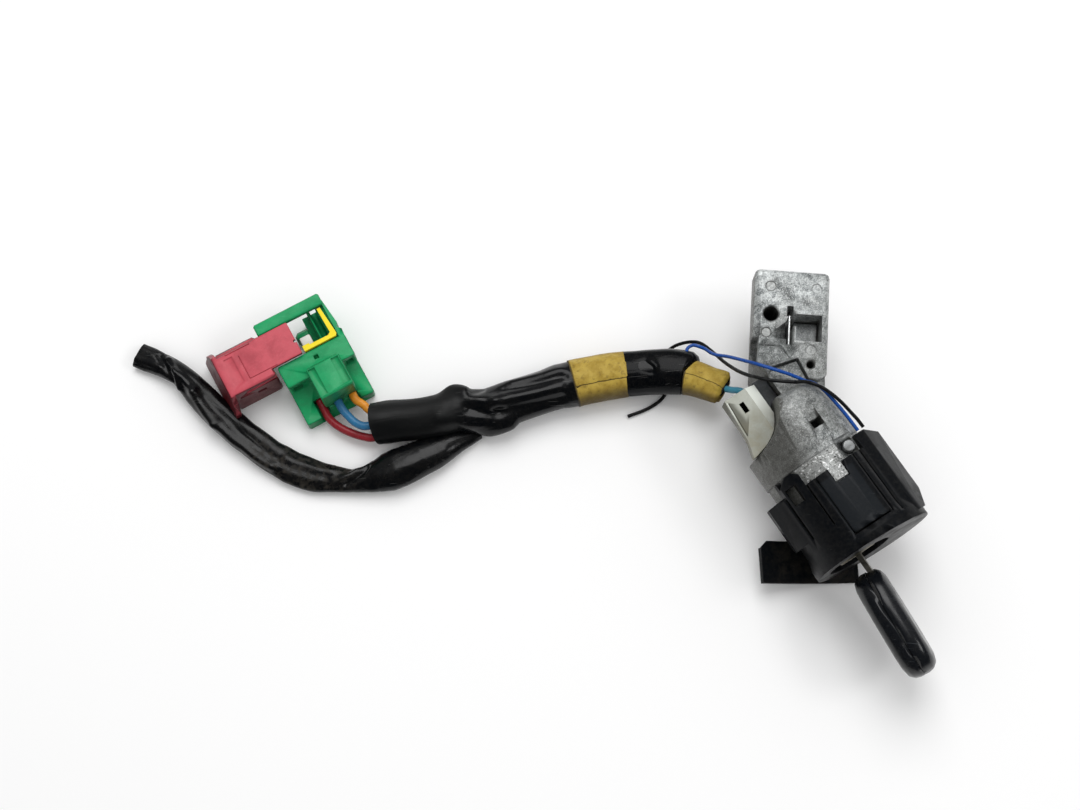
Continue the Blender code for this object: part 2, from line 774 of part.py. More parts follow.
def drive_line():
    """Shaft and bolt cam behind the plug, and the rotor of the contact block."""
    start = PLUG_LENGTH + GAP
    flange_r = PLUG_R - 1.0
    profile = [
        (0.0, SHAFT_END_Y),
        (SHAFT_R, SHAFT_END_Y),
        (SHAFT_R, start + 2.2),
        (flange_r, start + 2.2),
        (flange_r, start),
        (0.0, start),
    ]
    shaft = turned(profile, cylinder_axis, (0.0, 0.0), steps=24)
    finished(shaft, "drive_shaft", (0.66, 0.66, 0.64), 0.35, 1.0)

    cam = rod(
        CAM_R, (CAM_OFFSET, CAM_Y, 0.0), (CAM_OFFSET, CAM_Y + CAM_THICKNESS, 0.0), cylinder_axis, segments=32
    )
    rounded(cam, 0.5, 1)
    cut(
        cam,
        rod(SHAFT_R + GAP, (0, CAM_Y - REACH, 0), (0, CAM_Y + CAM_THICKNESS + REACH, 0), cylinder_axis),
    )
    finished(cam, "bolt_cam", (0.55, 0.55, 0.53), 0.4, 1.0)

    rotor_profile = [
        (0.0, ROTOR_Y[1]),
        (ROTOR_R * 0.7, ROTOR_Y[1]),
    ]
    for i in reversed(range(CONTACT_COUNT)):
        y = contact_y(i)
        lobe = CONTACT_WIDTH / 2 + 0.3
        rotor_profile += [
            (ROTOR_R * 0.7, y + lobe),
            (ROTOR_R, y + lobe),
            (ROTOR_R, y - lobe),
            (ROTOR_R * 0.7 if i else ROTOR_R, y - lobe),
        ]
    rotor_profile += [(ROTOR_R, ROTOR_Y[0]), (0.0, ROTOR_Y[0])]
    rotor_profile = [p for i, p in enumerate(rotor_profile) if i == 0 or p != rotor_profile[i - 1]]
    rotor = turned(rotor_profile, cylinder_axis, (0.0, 0.0), steps=16)
    socket = rod(
        SHAFT_R + GAP, (0, ROTOR_Y[0] - REACH, 0), (0, SHAFT_END_Y + GAP, 0), cylinder_axis, segments=24
    )
    cut(rotor, socket)
    finished(rotor, "switch_rotor", (0.12, 0.12, 0.12), 0.5)


def contact_y(index):
    """Place along the axis of one fixed contact."""
    middle = (ROTOR_Y[0] + ROTOR_Y[1]) / 2 + 0.4
    return middle + (index - (CONTACT_COUNT - 1) / 2) * CONTACT_PITCH


def return_spring():
    """The torsion spring round the shaft that brings the key back from start."""
    radius = 6.4
    wire = 0.5
    turns = 3
    steps = 12 * turns
    last = CYLINDER_BORE_END_Y - GAP - wire
    pitch = 1.3
    helix = []
    for i in range(steps + 1):
        angle = 2 * math.pi * i / 12
        helix.append(
            (
                CYLINDER_X + radius * math.cos(angle),
                last - pitch * turns * (1 - i / steps),
                AXIS_Z + radius * math.sin(angle),
            )
        )
    finished(tube(helix, wire, lock_frame, sides=1), "return_spring", (0.6, 0.6, 0.6), 0.3, 1.0)


def switch_outline(inset=0.0):
    """Plan of the contact block: an arc that fits the casting, and straight sides."""
    radius = SWITCH_ARC_R - inset
    right = SWITCH_RIGHT_X - inset
    right_angle = -math.degrees(math.acos((right - SWITCH_ARC_AT[0]) / radius))
    front = arc(SWITCH_ARC_AT, radius, right_angle, -86.0 + inset, 12)
    left = SWITCH_LEFT_X + inset
    return [
        (right, SWITCH_REAR_Y - inset),
        (left + 1.2, SWITCH_REAR_Y - inset),
        (left - 0.4, 68.5),
        *reversed(front),
    ]


def switch_lean(inset):
    """Cutter for the left side, which leans in below the cap."""
    cap_low = SWITCH_TOP_Z - SWITCH_CAP_DEPTH
    left = SWITCH_LEFT_X + inset
    foot = SWITCH_SPLIT_Z - REACH
    outline = [
        (left - 2 * REACH, cap_low),
        (left, cap_low),
        (left + SWITCH_LEAN * (cap_low - foot), foot),
        (left - 2 * REACH, foot),
    ]
    return slab(outline, 50.0, SWITCH_REAR_Y + REACH, lock_frame, plane="XZ")


def switch_housing():
    """The pale moulded shell, open below, with its bevel, latch window and cable opening."""
    shell = slab(switch_outline(), SWITCH_SPLIT_Z, SWITCH_TOP_Z, lock_frame)
    bevel_low = SWITCH_TOP_Z - SWITCH_BEVEL_DROP
    bevel = slab(
        [
            (SWITCH_BEVEL_X, SWITCH_TOP_Z),
            (SWITCH_RIGHT_X + 0.02, bevel_low),
            (SWITCH_RIGHT_X + REACH, bevel_low),
            (SWITCH_RIGHT_X + REACH, SWITCH_TOP_Z + REACH),
            (SWITCH_BEVEL_X, SWITCH_TOP_Z + REACH),
        ],
        50.0,
        SWITCH_REAR_Y + REACH,
        lock_frame,
        plane="XZ",
    )
    low_cavity = slab(
        switch_outline(SWITCH_WALL), SWITCH_SPLIT_Z - REACH, bevel_low - SWITCH_WALL, lock_frame
    )
    cut(low_cavity, switch_lean(SWITCH_WALL))
    high_cavity = box(
        (-12.0, 66.5, bevel_low - 2 * SWITCH_WALL),
        (SWITCH_BEVEL_X - SWITCH_WALL, SWITCH_REAR_Y - SWITCH_WALL, SWITCH_TOP_Z - SWITCH_WALL),
        lock_frame,
    )
    latch_window = box((-9.4, 79.6, SWITCH_TOP_Z - 3.0), (-7.0, 84.8, SWITCH_TOP_Z + REACH), lock_frame)
    cable_opening = box((-1.6, SWITCH_REAR_Y - 4.0, 23.9), (2.4, SWITCH_REAR_Y + REACH, 28.1), lock_frame)
    shaft_opening = rod(
        SHAFT_R + 2.0,
        (CYLINDER_X, 60.0, AXIS_Z),
        (CYLINDER_X, ROTOR_Y[0] + REACH, AXIS_Z),
        lock_frame,
    )
    rotor_opening = rod(
        ROTOR_R + 2 * GAP,
        (CYLINDER_X, ROTOR_Y[0] - 1.0, AXIS_Z),
        (CYLINDER_X, SWITCH_REAR_Y - SWITCH_WALL, AXIS_Z),
        lock_frame,
    )
    slot = groove(
        (SWITCH_LEFT_X + 0.85, 70.5),
        (SWITCH_LEFT_X + 2.15, 87.5),
        0.6,
        SWITCH_TOP_Z - 1.2,
        SWITCH_TOP_Z + REACH,
        lock_frame,
    )
    cut(shell, switch_lean(0.0), bevel, low_cavity, high_cavity, latch_window, slot)
    cut(shell, cable_opening, shaft_opening, rotor_opening)
    finished(shell, "switch_housing", (0.6, 0.59, 0.53), 0.55)


def switch_base():
    """The dark tray below the shell, with a side wall on the right."""
    tray_left = SWITCH_LEFT_X + SWITCH_LEAN * (SWITCH_TOP_Z - SWITCH_CAP_DEPTH - SWITCH_BOTTOM_Z)
    left_angle = -math.degrees(math.acos((tray_left - SWITCH_ARC_AT[0]) / SWITCH_ARC_R))
    tray_outline = [
        (BASE_RIGHT_X, BASE_REAR_Y),
        (tray_left, BASE_REAR_Y - 2.0),
        *reversed(arc(SWITCH_ARC_AT, SWITCH_ARC_R, -18.0, left_angle, 10)),
        (BASE_RIGHT_X, 80.5),
    ]
    tray_outline = [p for p in tray_outline if p[0] <= BASE_RIGHT_X]
    tray = slab(tray_outline, SWITCH_BOTTOM_Z, SWITCH_SPLIT_Z - GAP, lock_frame)
    side = slab(
        [
            (SWITCH_RIGHT_X + 2 * GAP, BASE_REAR_Y),
            (SWITCH_RIGHT_X + 2 * GAP, 75.6),
            (5.6, BARREL_REAR_Y + GAP),
            (BASE_RIGHT_X, BARREL_REAR_Y + GAP),
            (BASE_RIGHT_X, BASE_REAR_Y),
        ],
        SWITCH_SPLIT_Z - 2.0,
        BASE_SIDE_TOP_Z,
        lock_frame,
    )
    rotor_room = rod(
        ROTOR_R + 2 * GAP,
        (CYLINDER_X, 66.0, AXIS_Z),
        (CYLINDER_X, BASE_REAR_Y - 2.0, AXIS_Z),
        lock_frame,
    )
    join(tray, side)
    cut(tray, rotor_room)
    finished(tray, "switch_base", (0.16, 0.17, 0.19), 0.5)


def switch_contacts():
    """Fixed contacts: each hangs from the ceiling, with a spring leaf that reaches the rotor."""
    leg_x = CYLINDER_X - ROTOR_R - CONTACT_REACH
    ceiling = SWITCH_TOP_Z - SWITCH_BEVEL_DROP - SWITCH_WALL
    for i in range(CONTACT_COUNT):
        y = contact_y(i)
        low_y = y - CONTACT_WIDTH / 2
        high_y = y + CONTACT_WIDTH / 2
        leg = box(
            (leg_x, low_y, AXIS_Z),
            (leg_x + CONTACT_THICKNESS, high_y, ceiling - GAP),
            lock_frame,
        )
        leaf = box(
            (leg_x, low_y, AXIS_Z),
            (CYLINDER_X - ROTOR_R - GAP, high_y, AXIS_Z + CONTACT_THICKNESS),
            lock_frame,
        )
        join(leg, leaf)
        finished(leg, f"contact_{i + 1}", (0.8, 0.5, 0.3), 0.3, 1.0)


def shroud_surface_z(x):
    """Height of the shroud's outer surface above x."""
    return AXIS_Z + math.sqrt(SHROUD_R**2 - (x - BARREL_X) ** 2)


def shroud():
    """The black moulded shroud with clips, ribs, flange and wing, in one piece."""
    profile = [
        (SHROUD_BORE_R, TONGUE_REAR_Y),
        (SHROUD_R, TONGUE_REAR_Y),
        (SHROUD_R, RIM_LENGTH + 3.0),
        (RIM_R, RIM_LENGTH - 3.0),
        (RIM_R, -8.0),
        (FRONT_OPENING_R / 2, -8.0),
        (FRONT_OPENING_R / 2, FRONT_WALL),
        (SHROUD_BORE_R, FRONT_WALL),
    ]
    body = turned(profile, lock_frame, BARREL_CENTRE, steps=56, closed=True)
    left = BARREL_X - RIM_R - REACH
    right = BARREL_X + RIM_R + REACH
    rear = TONGUE_REAR_Y + REACH
    reach = 2 * RIM_R
    cut(
        body,
        box((-reach, -reach, -reach), (reach, 0.0, reach), front_plane),
        box((TONGUE_X[1], SHROUD_REAR_Y, AXIS_Z + 5.0), (right, rear, ABOVE_Z), lock_frame),
        box((left, SHROUD_REAR_Y, -REACH), (TONGUE_X[0], rear, ABOVE_Z), lock_frame),
        box((left, SHROUD_REAR_Y, -REACH), (right, rear, AXIS_Z + 5.1), lock_frame),
    )
    join(body, shroud_flange(), shroud_rib(), shroud_wing())
    cut(body, *shroud_cutters())
    finished(body, "shroud", (0.02, 0.022, 0.026), 0.42)


def shroud_flange():
    """The raised flange on the right side: a ridge with a sloping outer face."""
    section = [
        (23.0, 43.0),
        (23.6, 50.6),
        (28.8, 49.0),
        (31.0, 46.0),
        (38.4, 36.5),
        (38.4, 33.0),
        (33.0, 31.0),
        (29.5, 33.0),
    ]
    flange = slab(section, 1.0, 44.0, lock_frame, plane="XZ")
    slant = slab([(25.0, 46.0), (42.0, 39.0), (42.0, 48.0), (25.0, 48.0)], 20.0, ABOVE_Z, lock_frame)
    nose = slab([(25.0, -4.0), (31.5, -4.0), (42.0, 16.2), (42.0, -8.0)], 20.0, ABOVE_Z, lock_frame)
    inside = rod(
        SHROUD_BORE_R,
        (BARREL_X, FRONT_WALL, AXIS_Z),
        (BARREL_X, TONGUE_REAR_Y + REACH, AXIS_Z),
        lock_frame,
        segments=56,
    )
    return cut(flange, slant, nose, inside)


def shroud_rib():
    """The stepped rib on the left side."""
    section = [
        (-17.0, 41.5),
        (-19.6, 39.6),
        (-24.0, 31.8),
        (-24.0, 27.2),
        (-21.2, 25.0),
        (-18.6, 26.0),
        (-18.6, 36.0),
    ]
    return slab(section, 15.5, 38.0, lock_frame, plane="XZ")


def shroud_wing():
    """A curved plate that leaves the rim's lower front and rises to the left."""
    heading = math.radians(WING_HEADING)
    along = Vector((math.cos(heading), math.sin(heading)))
    across = Vector((along.y, -along.x))
    rows = 14
    mesh = bpy.data.meshes.new("wing")
    sheet = bmesh.new()
    bmesh.ops.create_grid(sheet, x_segments=rows, y_segments=2, size=0.5)
    for vertex in sheet.verts:
        s = vertex.co.x + 0.5
        t = vertex.co.y + 0.5
        place = Vector(WING_ROOT_AT) + along * s * WING_LENGTH + across * t * WING_WIDTH
        height = WING_THICKNESS / 2 + 0.05 + WING_RISE * s**2
        vertex.co = (place.x * MM, place.y * MM, height * MM)
    bmesh.ops.recalc_face_normals(sheet, faces=sheet.faces)
    sheet.to_mesh(mesh)
    sheet.free()
    wing = tool(mesh, lock_frame)
    skin = wing.modifiers.new("Wall", "SOLIDIFY")
    skin.thickness = WING_THICKNESS * MM
    skin.offset = 0.0
    skin.use_even_offset = True
    tip = Vector(WING_ROOT_AT) + along * WING_LENGTH
    corner = tip + across * WING_WIDTH
    clip = 3.4
    return cut(
        wing,
        slab(
            [corner + along * 2, corner - along * clip, corner - across * clip, corner + along * 2 - across * clip],
            0.0,
            25.0,
            lock_frame,
        ),
    )


def shroud_cutters():
    """The opening for the lock's face, and slits, windows and grooves in the shroud."""
    low_z = AXIS_Z + 12.0
    half = GROOVE_WIDTH / 2
    slit = SLIT_WIDTH
    rear = TONGUE_REAR_Y + REACH
    lug_x, lug_y = LUG_AT
    groove_floor = shroud_surface_z(FLAP_X[0]) - GROOVE_DEPTH
    side_groove_x = FLAP_X[1] + 4.2
    return [
        rod(
            FRONT_OPENING_R,
            (CYLINDER_X, -12.0, AXIS_Z),
            (CYLINDER_X, FRONT_WALL + GAP, AXIS_Z),
            lock_frame,
            segments=48,
        ),
        box((TONGUE_X[1], SLIT_FRONT_Y, low_z), (TONGUE_X[1] + slit, rear, ABOVE_Z), lock_frame),
        box((TONGUE_X[0] - slit, SLIT_FRONT_Y, low_z), (TONGUE_X[0], rear, ABOVE_Z), lock_frame),
        box(
            (TONGUE_WINDOW_X[0], TONGUE_WINDOW_Y[0], low_z),
            (TONGUE_WINDOW_X[1], TONGUE_WINDOW_Y[1], ABOVE_Z),
            lock_frame,
        ),
        box(
            (lug_x - LUG_SIZE[0] / 2 - GAP, lug_y - LUG_SIZE[1] / 2 - 2 * GAP, low_z),
            (lug_x + LUG_SIZE[0] / 2 + GAP, SHROUD_REAR_Y + REACH, ABOVE_Z),
            lock_frame,
        ),
        box((FLAP_X[0], FLAP_FRONT_Y + 4.0, FLAP_TOP_Z), (FLAP_X[1], rear, ABOVE_Z), lock_frame),
        box((FLAP_X[0] - half, FLAP_FRONT_Y - half, groove_floor), (FLAP_X[0] + half, rear, ABOVE_Z), lock_frame),
        box((FLAP_X[1] - half, FLAP_FRONT_Y - half, groove_floor), (FLAP_X[1] + half, rear, ABOVE_Z), lock_frame),
        box(
            (FLAP_X[0] - half, FLAP_FRONT_Y - half, groove_floor),
            (FLAP_X[1] + half, FLAP_FRONT_Y + half, ABOVE_Z),
            lock_frame,
        ),
        box(
            (side_groove_x - half, FLAP_FRONT_Y - 2.0, shroud_surface_z(side_groove_x) - GROOVE_DEPTH),
            (side_groove_x + half, rear, ABOVE_Z),
            lock_frame,
        ),
        groove((TONGUE_X[0] - 2.4, 41.0), (TONGUE_X[0] + 3.0, 46.6), 2.4, low_z, ABOVE_Z, lock_frame),
        groove((TONGUE_X[1] - 2.2, 46.6), (TONGUE_X[1] + 2.0, 42.4), 2.4, low_z, ABOVE_Z, lock_frame),
    ]


def antenna():
    """The bobbin and the coil round the cylinder's face that read the key."""
    inner = HOUSING_BORE_R + 2.4 + GAP
    outer = inner + 1.8
    bobbin_profile = [
        (inner, 10.0),
        (outer, 10.0),
        (outer, 9.0),
        (inner + 0.8, 9.0),
        (inner + 0.8, 4.0),
        (outer, 4.0),
        (outer, FRONT_WALL + GAP),
        (inner, FRONT_WALL + GAP),
    ]
    bobbin = turned(bobbin_profile, lock_frame, CYLINDER_CENTRE, steps=32, closed=True)
    finished(bobbin, "antenna_bobbin", (0.04, 0.04, 0.045), 0.5)
    coil_profile = [
        (inner + 0.8 + GAP, 9.0 - GAP),
        (outer, 9.0 - GAP),
        (outer, 4.0 + GAP),
        (inner + 0.8 + GAP, 4.0 + GAP),
    ]
    coil = turned(coil_profile, lock_frame, CYLINDER_CENTRE, steps=32, closed=True)
    finished(coil, "antenna_coil", (0.6, 0.28, 0.12), 0.35, 1.0)


def key_head_blank():
    """The whole key head before it is parted: layers of one outline, drawn in at both faces."""
    count = 24
    half = HEAD_THICKNESS / 2
    steps = [0.0, 28.0, 56.0, 90.0]
    layers = [
        (half - HEAD_ROUND + HEAD_ROUND * math.sin(math.radians(a)), HEAD_ROUND * (1 - math.cos(math.radians(a))))
        for a in steps
    ]
    layers = [(-x, inset) for x, inset in reversed(layers)] + layers
    work = bmesh.new()
    rings = []
    for x, inset in layers:
        ring = []
        for i in range(count):
            angle = 2 * math.pi * (i + 0.5) / count
            along = math.copysign(abs(math.cos(angle)) ** 0.62, math.cos(angle))
            up = math.copysign(abs(math.sin(angle)) ** 0.62, math.sin(angle))
            share = (along + 1) / 2
            tall = HEAD_HALF_HEIGHT + (HEAD_NECK_HALF_HEIGHT - HEAD_HALF_HEIGHT) * share**2 - inset
            place = Vector((x, -HEAD_LENGTH / 2 + along * (HEAD_LENGTH / 2 - inset), up * tall))
            ring.append(work.verts.new(place * MM))
        rings.append(ring)
    for near, far in zip(rings, rings[1:]):
        for i in range(count):
            work.faces.new((near[i], near[(i + 1) % count], far[(i + 1) % count], far[i]))
    work.faces.new(rings[0])
    work.faces.new(list(reversed(rings[-1])))
    bmesh.ops.recalc_face_normals(work, faces=work.faces)
    mesh = bpy.data.meshes.new("key_head")
    work.to_mesh(mesh)
    work.free()
    return tool(mesh, head_frame)


def key():
    """Blade, two head halves and the chip between them."""
    blade_outline = [
        (BLADE_ROOT_Y, -BLADE_HALF_HEIGHT),
        (BLADE_TIP_Y - 4.0, -BLADE_HALF_HEIGHT),
        (BLADE_TIP_Y, -1.2),
        (BLADE_TIP_Y, 1.2),
        (BLADE_TIP_Y - 4.0, BLADE_HALF_HEIGHT),
        (BLADE_ROOT_Y, BLADE_HALF_HEIGHT),
    ]
    blade = slab(blade_outline, -BLADE_HALF_THICKNESS, BLADE_HALF_THICKNESS, key_axis, plane="YZ")
    for side in (-1, 1):
        x = side * (BLADE_HALF_THICKNESS + 0.4)
        route = [
            (x, 2.0 + 3.0 * i, side * 1.3 * math.sin(1.7 * i)) for i in range(14)
        ]
        cut(blade, tube(route, 0.9, key_axis, sides=1))
    finished(blade, "key_blade", (0.62, 0.61, 0.58), 0.3, 1.0)

    far = HEAD_LENGTH + REACH
    tall = HEAD_HALF_HEIGHT + REACH
    thick = HEAD_THICKNESS / 2 + REACH
    parting = GAP / 2
    blade_room = box(
        (-BLADE_HALF_THICKNESS - 0.8, BLADE_ROOT_Y - 2 * GAP, -BLADE_HALF_HEIGHT - GAP),
        (BLADE_HALF_THICKNESS + 0.4, HEAD_FRONT_Y + 3.0, BLADE_HALF_HEIGHT + GAP),
        key_axis,
    )
    chip_x, chip_y, chip_z = CHIP_SIZE
    chip_at = -HEAD_LENGTH * 0.45
    chip_room = box(
        (-chip_x / 2 - GAP, chip_at - chip_y / 2 - GAP, -chip_z / 2 - GAP),
        (chip_x / 2 + GAP, chip_at + chip_y / 2 + GAP, chip_z / 2 + GAP),
        head_frame,
    )
    for name, low_x, high_x in (
        ("key_head_left", -parting, thick),
        ("key_head_right", -thick, parting),
    ):
        half = key_head_blank()
        cut(half, box((low_x, -far, -tall), (high_x, REACH, tall), head_frame), blade_room, chip_room)
        finished(half, name, (0.015, 0.016, 0.02), 0.22)
    chip = box(
        (-chip_x / 2, chip_at - chip_y / 2, -chip_z / 2),
        (chip_x / 2, chip_at + chip_y / 2, chip_z / 2),
        head_frame,
    )
    rounded(chip, 0.5)
    finished(chip, "key_chip", (0.05, 0.05, 0.05), 0.4)


def connector_housing():
    """The green housing: base, plate, wire block, window wall, thin top bar and inner ribs."""
    low_x, high_x = HOUSING_X
    base = box((low_x, HOUSING_BASE_Y[0], 0.0), (high_x, HOUSING_BASE_Y[1], HOUSING_BASE_TOP_Z), connector_frame)
    plate = box((low_x, PLATE_Y[0], HOUSING_BASE_TOP_Z - 2.0), (high_x, PLATE_Y[1], PLATE_TOP_Z), connector_frame)
    wire_block = box(
        (WIRE_BLOCK_X[0], WIRE_BLOCK_Y[0], HOUSING_BASE_TOP_Z - 2.0),
        (WIRE_BLOCK_X[1], WIRE_BLOCK_Y[1], WIRE_BLOCK_TOP_Z),
        connector_frame,
    )
    rear_y = SLIDER_Y[1] + 2.6
    inner_x = WINDOW_WALL_X + 3.9
    wall = box((WINDOW_WALL_X, PLATE_Y[1] - 2.0, 0.0), (inner_x + 0.2, rear_y, WINDOW_WALL_TOP_Z), connector_frame)
    cheek_outline = [
        (inner_x, PLATE_Y[1] - 2.0),
        (high_x - 0.2, PLATE_Y[1] - 2.0),
        (high_x + 0.2, 8.8),
        (high_x - 1.6, 10.6),
        (high_x - 0.4, 12.6),
        (high_x - 1.8, rear_y),
        (inner_x, rear_y),
    ]
    cheek = slab(cheek_outline, 0.0, PLATE_TOP_Z, connector_frame)
    bar = box((low_x - 1.0, SLIDER_Y[1] + GAP, BAR_Z[0]), (high_x - 2.0, 29.8, BAR_Z[1]), connector_frame)
    floor = box((6.0, PLATE_Y[1] - 2.0, 0.0), (WINDOW_WALL_X + 1.0, rear_y, 11.0), connector_frame)
    rib = box((9.0, PLATE_Y[1] - 2.0, 9.0), (10.6, rear_y, 17.0), connector_frame)
    stub = box((-0.9, 16.6, 0.0), (7.0, 21.6, 10.0), connector_frame)
    for piece, width in ((base, 0.8), (plate, 0.8), (wire_block, 0.8), (bar, 0.8), (stub, 1.6)):
        rounded(piece, width, 1)
    join(base, plate, wire_block, wall, cheek, bar, floor, rib, stub)
    recess_low = WIRE_BLOCK_TOP_Z - 1.4
    slot_top = PLATE_TOP_Z - PLATE_THICKNESS
    cutters = [
        box((-3.3, -17.9, recess_low), (0.2, -3.4, recess_low + REACH), connector_frame),
        box((8.6, -17.2, recess_low), (12.4, -3.4, recess_low + REACH), connector_frame),
        box((2.2, 0.9, PLATE_TOP_Z - 3.0), (4.6, 3.4, PLATE_TOP_Z + REACH), connector_frame),
        box((-13.2, PLATE_Y[0] - 1.0, 13.0), (-8.6, PLATE_Y[0] + 2.0, 18.4), connector_frame),
        box((14.8, PLATE_Y[0] - 1.0, 13.0), (18.4, PLATE_Y[0] + 2.0, 18.4), connector_frame),
        box((low_x - REACH, SLIDER_LOW_Y - GAP, HOUSING_BASE_TOP_Z - 3.0), (SLIDER_X[1] + GAP, SLIDER_Y[1], slot_top), connector_frame),
        box((-8.0, HOUSING_BASE_Y[0] - 1.0, 2.6), (13.6, -19.4, HOUSING_BASE_TOP_Z + REACH), connector_frame),
        box((-8.0, -20.0, 2.6), (-2.4, -12.7, HOUSING_BASE_TOP_Z + 1.0), connector_frame),
    ]
    for hole_x, hole_z in WIRE_HOLES:
        cutters.append(
            rod(WIRE_R + 0.6, (hole_x, -24.0, hole_z), (hole_x, -12.0, hole_z), connector_frame, segments=16)
        )
    cut(base, *cutters)
    finished(base, "connector_housing", (0.02, 0.32, 0.13), 0.4)


def connector_slider():
    """The red locking drawer, drawn out to the left: an open box, a plate, a rail and a flared end."""
    left, right = SLIDER_X
    low, high = SLIDER_Z
    box_end_x = right - SLIDER_TRAVEL
    body = box((left, SLIDER_LOW_Y, low), (box_end_x, SLIDER_Y[1], high), slider_axis)
    rounded(body, 1.0, 1)
    tongue = box((box_end_x - 3.0, SLIDER_Y[0], high - SLIDER_WALL), (right, SLIDER_Y[1], high), slider_axis)
    rounded(tongue, 0.5, 1)
    rail = box((left + 1.0, SLIDER_Y[1] - 1.0, 8.0), (box_end_x - 1.0, SLIDER_Y[1] + 3.2, BAR_Z[0] - GAP), slider_axis)
    rounded(rail, 1.3, 1)
    flare = slab(
        [
            (left + 2.2, high - 0.4),
            (left - 0.2, high - 0.4),
            (left - 1.0, 18.0),
            (left - 2.8, 9.0),
            (left - 4.6, 3.2),
            (left - 2.8, 2.4),
            (left - 0.6, 8.0),
            (left + 1.0, 15.0),
        ],
        SLIDER_LOW_Y - 8.0,
        SLIDER_Y[1] + 9.0,
        slider_axis,
        plane="XZ",
    )
    ears = slab(
        [
            (SLIDER_LOW_Y - 0.4, high),
            (SLIDER_Y[1] + 0.4, high),
            (SLIDER_Y[1] + 4.0, 19.0),
            (SLIDER_Y[1] + 7.6, 12.0),
            (SLIDER_Y[1] + 7.6, 4.0),
            (SLIDER_Y[1] + 4.0, 1.6),
            (SLIDER_LOW_Y + 2.0, 1.6),
            (SLIDER_LOW_Y - 1.0, 8.0),
            (SLIDER_LOW_Y - 5.0, 8.0),
            (SLIDER_LOW_Y - 5.0, 12.0),
            (SLIDER_LOW_Y - 2.0, 19.0),
        ],
        left - 8.0,
        left + 4.0,
        slider_axis,
        plane="YZ",
    )
    boolean(flare, ears, "INTERSECT")
    join(body, tongue, rail, flare)
    panel = 0.6
    hollow = box(
        (left + SLIDER_WALL, SLIDER_LOW_Y + SLIDER_WALL, -REACH),
        (box_end_x - SLIDER_WALL, SLIDER_Y[1] - SLIDER_WALL, high - SLIDER_WALL),
        slider_axis,
    )
    side_slot = box(
        (box_end_x - SLIDER_TRAVEL - GAP, SLIDER_LOW_Y - REACH, PLATE_TOP_Z - PLATE_THICKNESS - GAP),
        (box_end_x + REACH, PLATE_Y[1] + GAP, PLATE_TOP_Z + GAP),
        slider_axis,
    )
    open_end = box(
        (box_end_x - SLIDER_WALL - 1.0, SLIDER_LOW_Y + SLIDER_WALL, -REACH),
        (box_end_x + REACH, SLIDER_Y[1] - SLIDER_WALL, high - SLIDER_WALL),
        slider_axis,
    )
    cut(
        body,
        hollow,
        side_slot,
        open_end,
        box((left + 4.6, 6.7, high - panel), (left + 9.1, 20.5, high + 1), slider_axis),
        box((left + 11.7, 6.2, high - panel), (left + 12.2, 19.1, high + 1), slider_axis),
        box((left + 11.7, 6.2, high - panel), (-14.4, 6.7, high + 1), slider_axis),
        box((left + 6.3, 21.9, high - panel), (-21.6, 22.4, high + 1), slider_axis),
        rod(0.8, (right - 0.5, 12.9, high - 4), (right - 0.5, 12.9, high + 1), slider_axis, segments=12),
        box((left + 3.4, SLIDER_LOW_Y - 1.0, 16.4), (left + 8.4, SLIDER_LOW_Y + 0.8, 18.6), slider_axis),
        box((left + 12.0, SLIDER_LOW_Y - 1.0, 12.4), (left + 16.4, SLIDER_LOW_Y + 0.8, 15.0), slider_axis),
    )
    finished(body, "connector_slider", (0.5, 0.06, 0.09), 0.38)


def connector_small_pieces():
    """The yellow terminal lock and the pale guard in the window."""
    low_y = PLATE_Y[1] + 2 * GAP
    strip = [
        (15.9, 23.1),
        (14.2, 23.1),
        (14.6, 9.8),
        (13.2, 8.8),
        (3.4, 8.9),
        (3.4, 9.7),
        (-0.2, 9.7),
        (-0.2, low_y),
        (16.4, low_y),
        (17.2, 8.0),
    ]
    lock = slab(strip, WINDOW_WALL_TOP_Z + GAP, PLATE_TOP_Z + 0.4, connector_frame)
    finished(lock, "terminal_lock", (0.85, 0.75, 0.02), 0.4)
    guard = box((0.2, 10.1, 1.0), (6.0 - GAP, 15.4, 18.0), connector_frame)
    rounded(guard, 0.5, 1)
    finished(guard, "terminal_guard", (0.8, 0.8, 0.78), 0.5)


TRUNK_ROUTE = [
    (-151.0, 176.9, 9.2), (-142.6, 173.3, 9.2), (-133.7, 168.6, 9.2), (-124.2, 164.8, 9.2),
    (-115.7, 162.0, 9.2), (-109.0, 157.4, 9.2), (-101.6, 153.4, 9.2), (-93.5, 150.8, 9.2),
    (-87.5, 148.7, 9.2), (-77.8, 145.9, 9.3), (-69.9, 143.8, 9.6), (-61.4, 141.2, 10.0),
    (-55.0, 138.8, 10.3), (-47.5, 135.6, 10.6), (-39.4, 131.6, 10.9), (-32.3, 127.6, 11.2),
    (-26.1, 123.8, 11.6), (-20.0, 119.6, 12.2), (-14.2, 114.8, 13.2), (-10.2, 109.0, 15.0),
    (-7.2, 103.4, 17.4), (-4.6, 98.2, 20.2),
]
SPARE_ROUTE = [
    (-111.6, 146.6, 4.0), (-123.3, 149.4, 4.0), (-140.3, 150.7, 4.0), (-156.4, 152.2, 4.0),
    (-166.0, 154.8, 4.0), (-173.4, 158.7, 4.0), (-181.7, 165.3, 4.0), (-189.5, 172.7, 4.0),
    (-199.4, 187.8, 4.0), (-204.2, 197.4, 4.0), (-208.4, 206.9, 4.0), (-211.4, 216.9, 4.0),
    (-214.3, 226.4, 4.0), (-217.6, 243.6, 4.0), (-221.4, 257.1, 4.0), (-225.2, 264.4, 4.0),
    (-229.8, 270.6, 4.0),
]
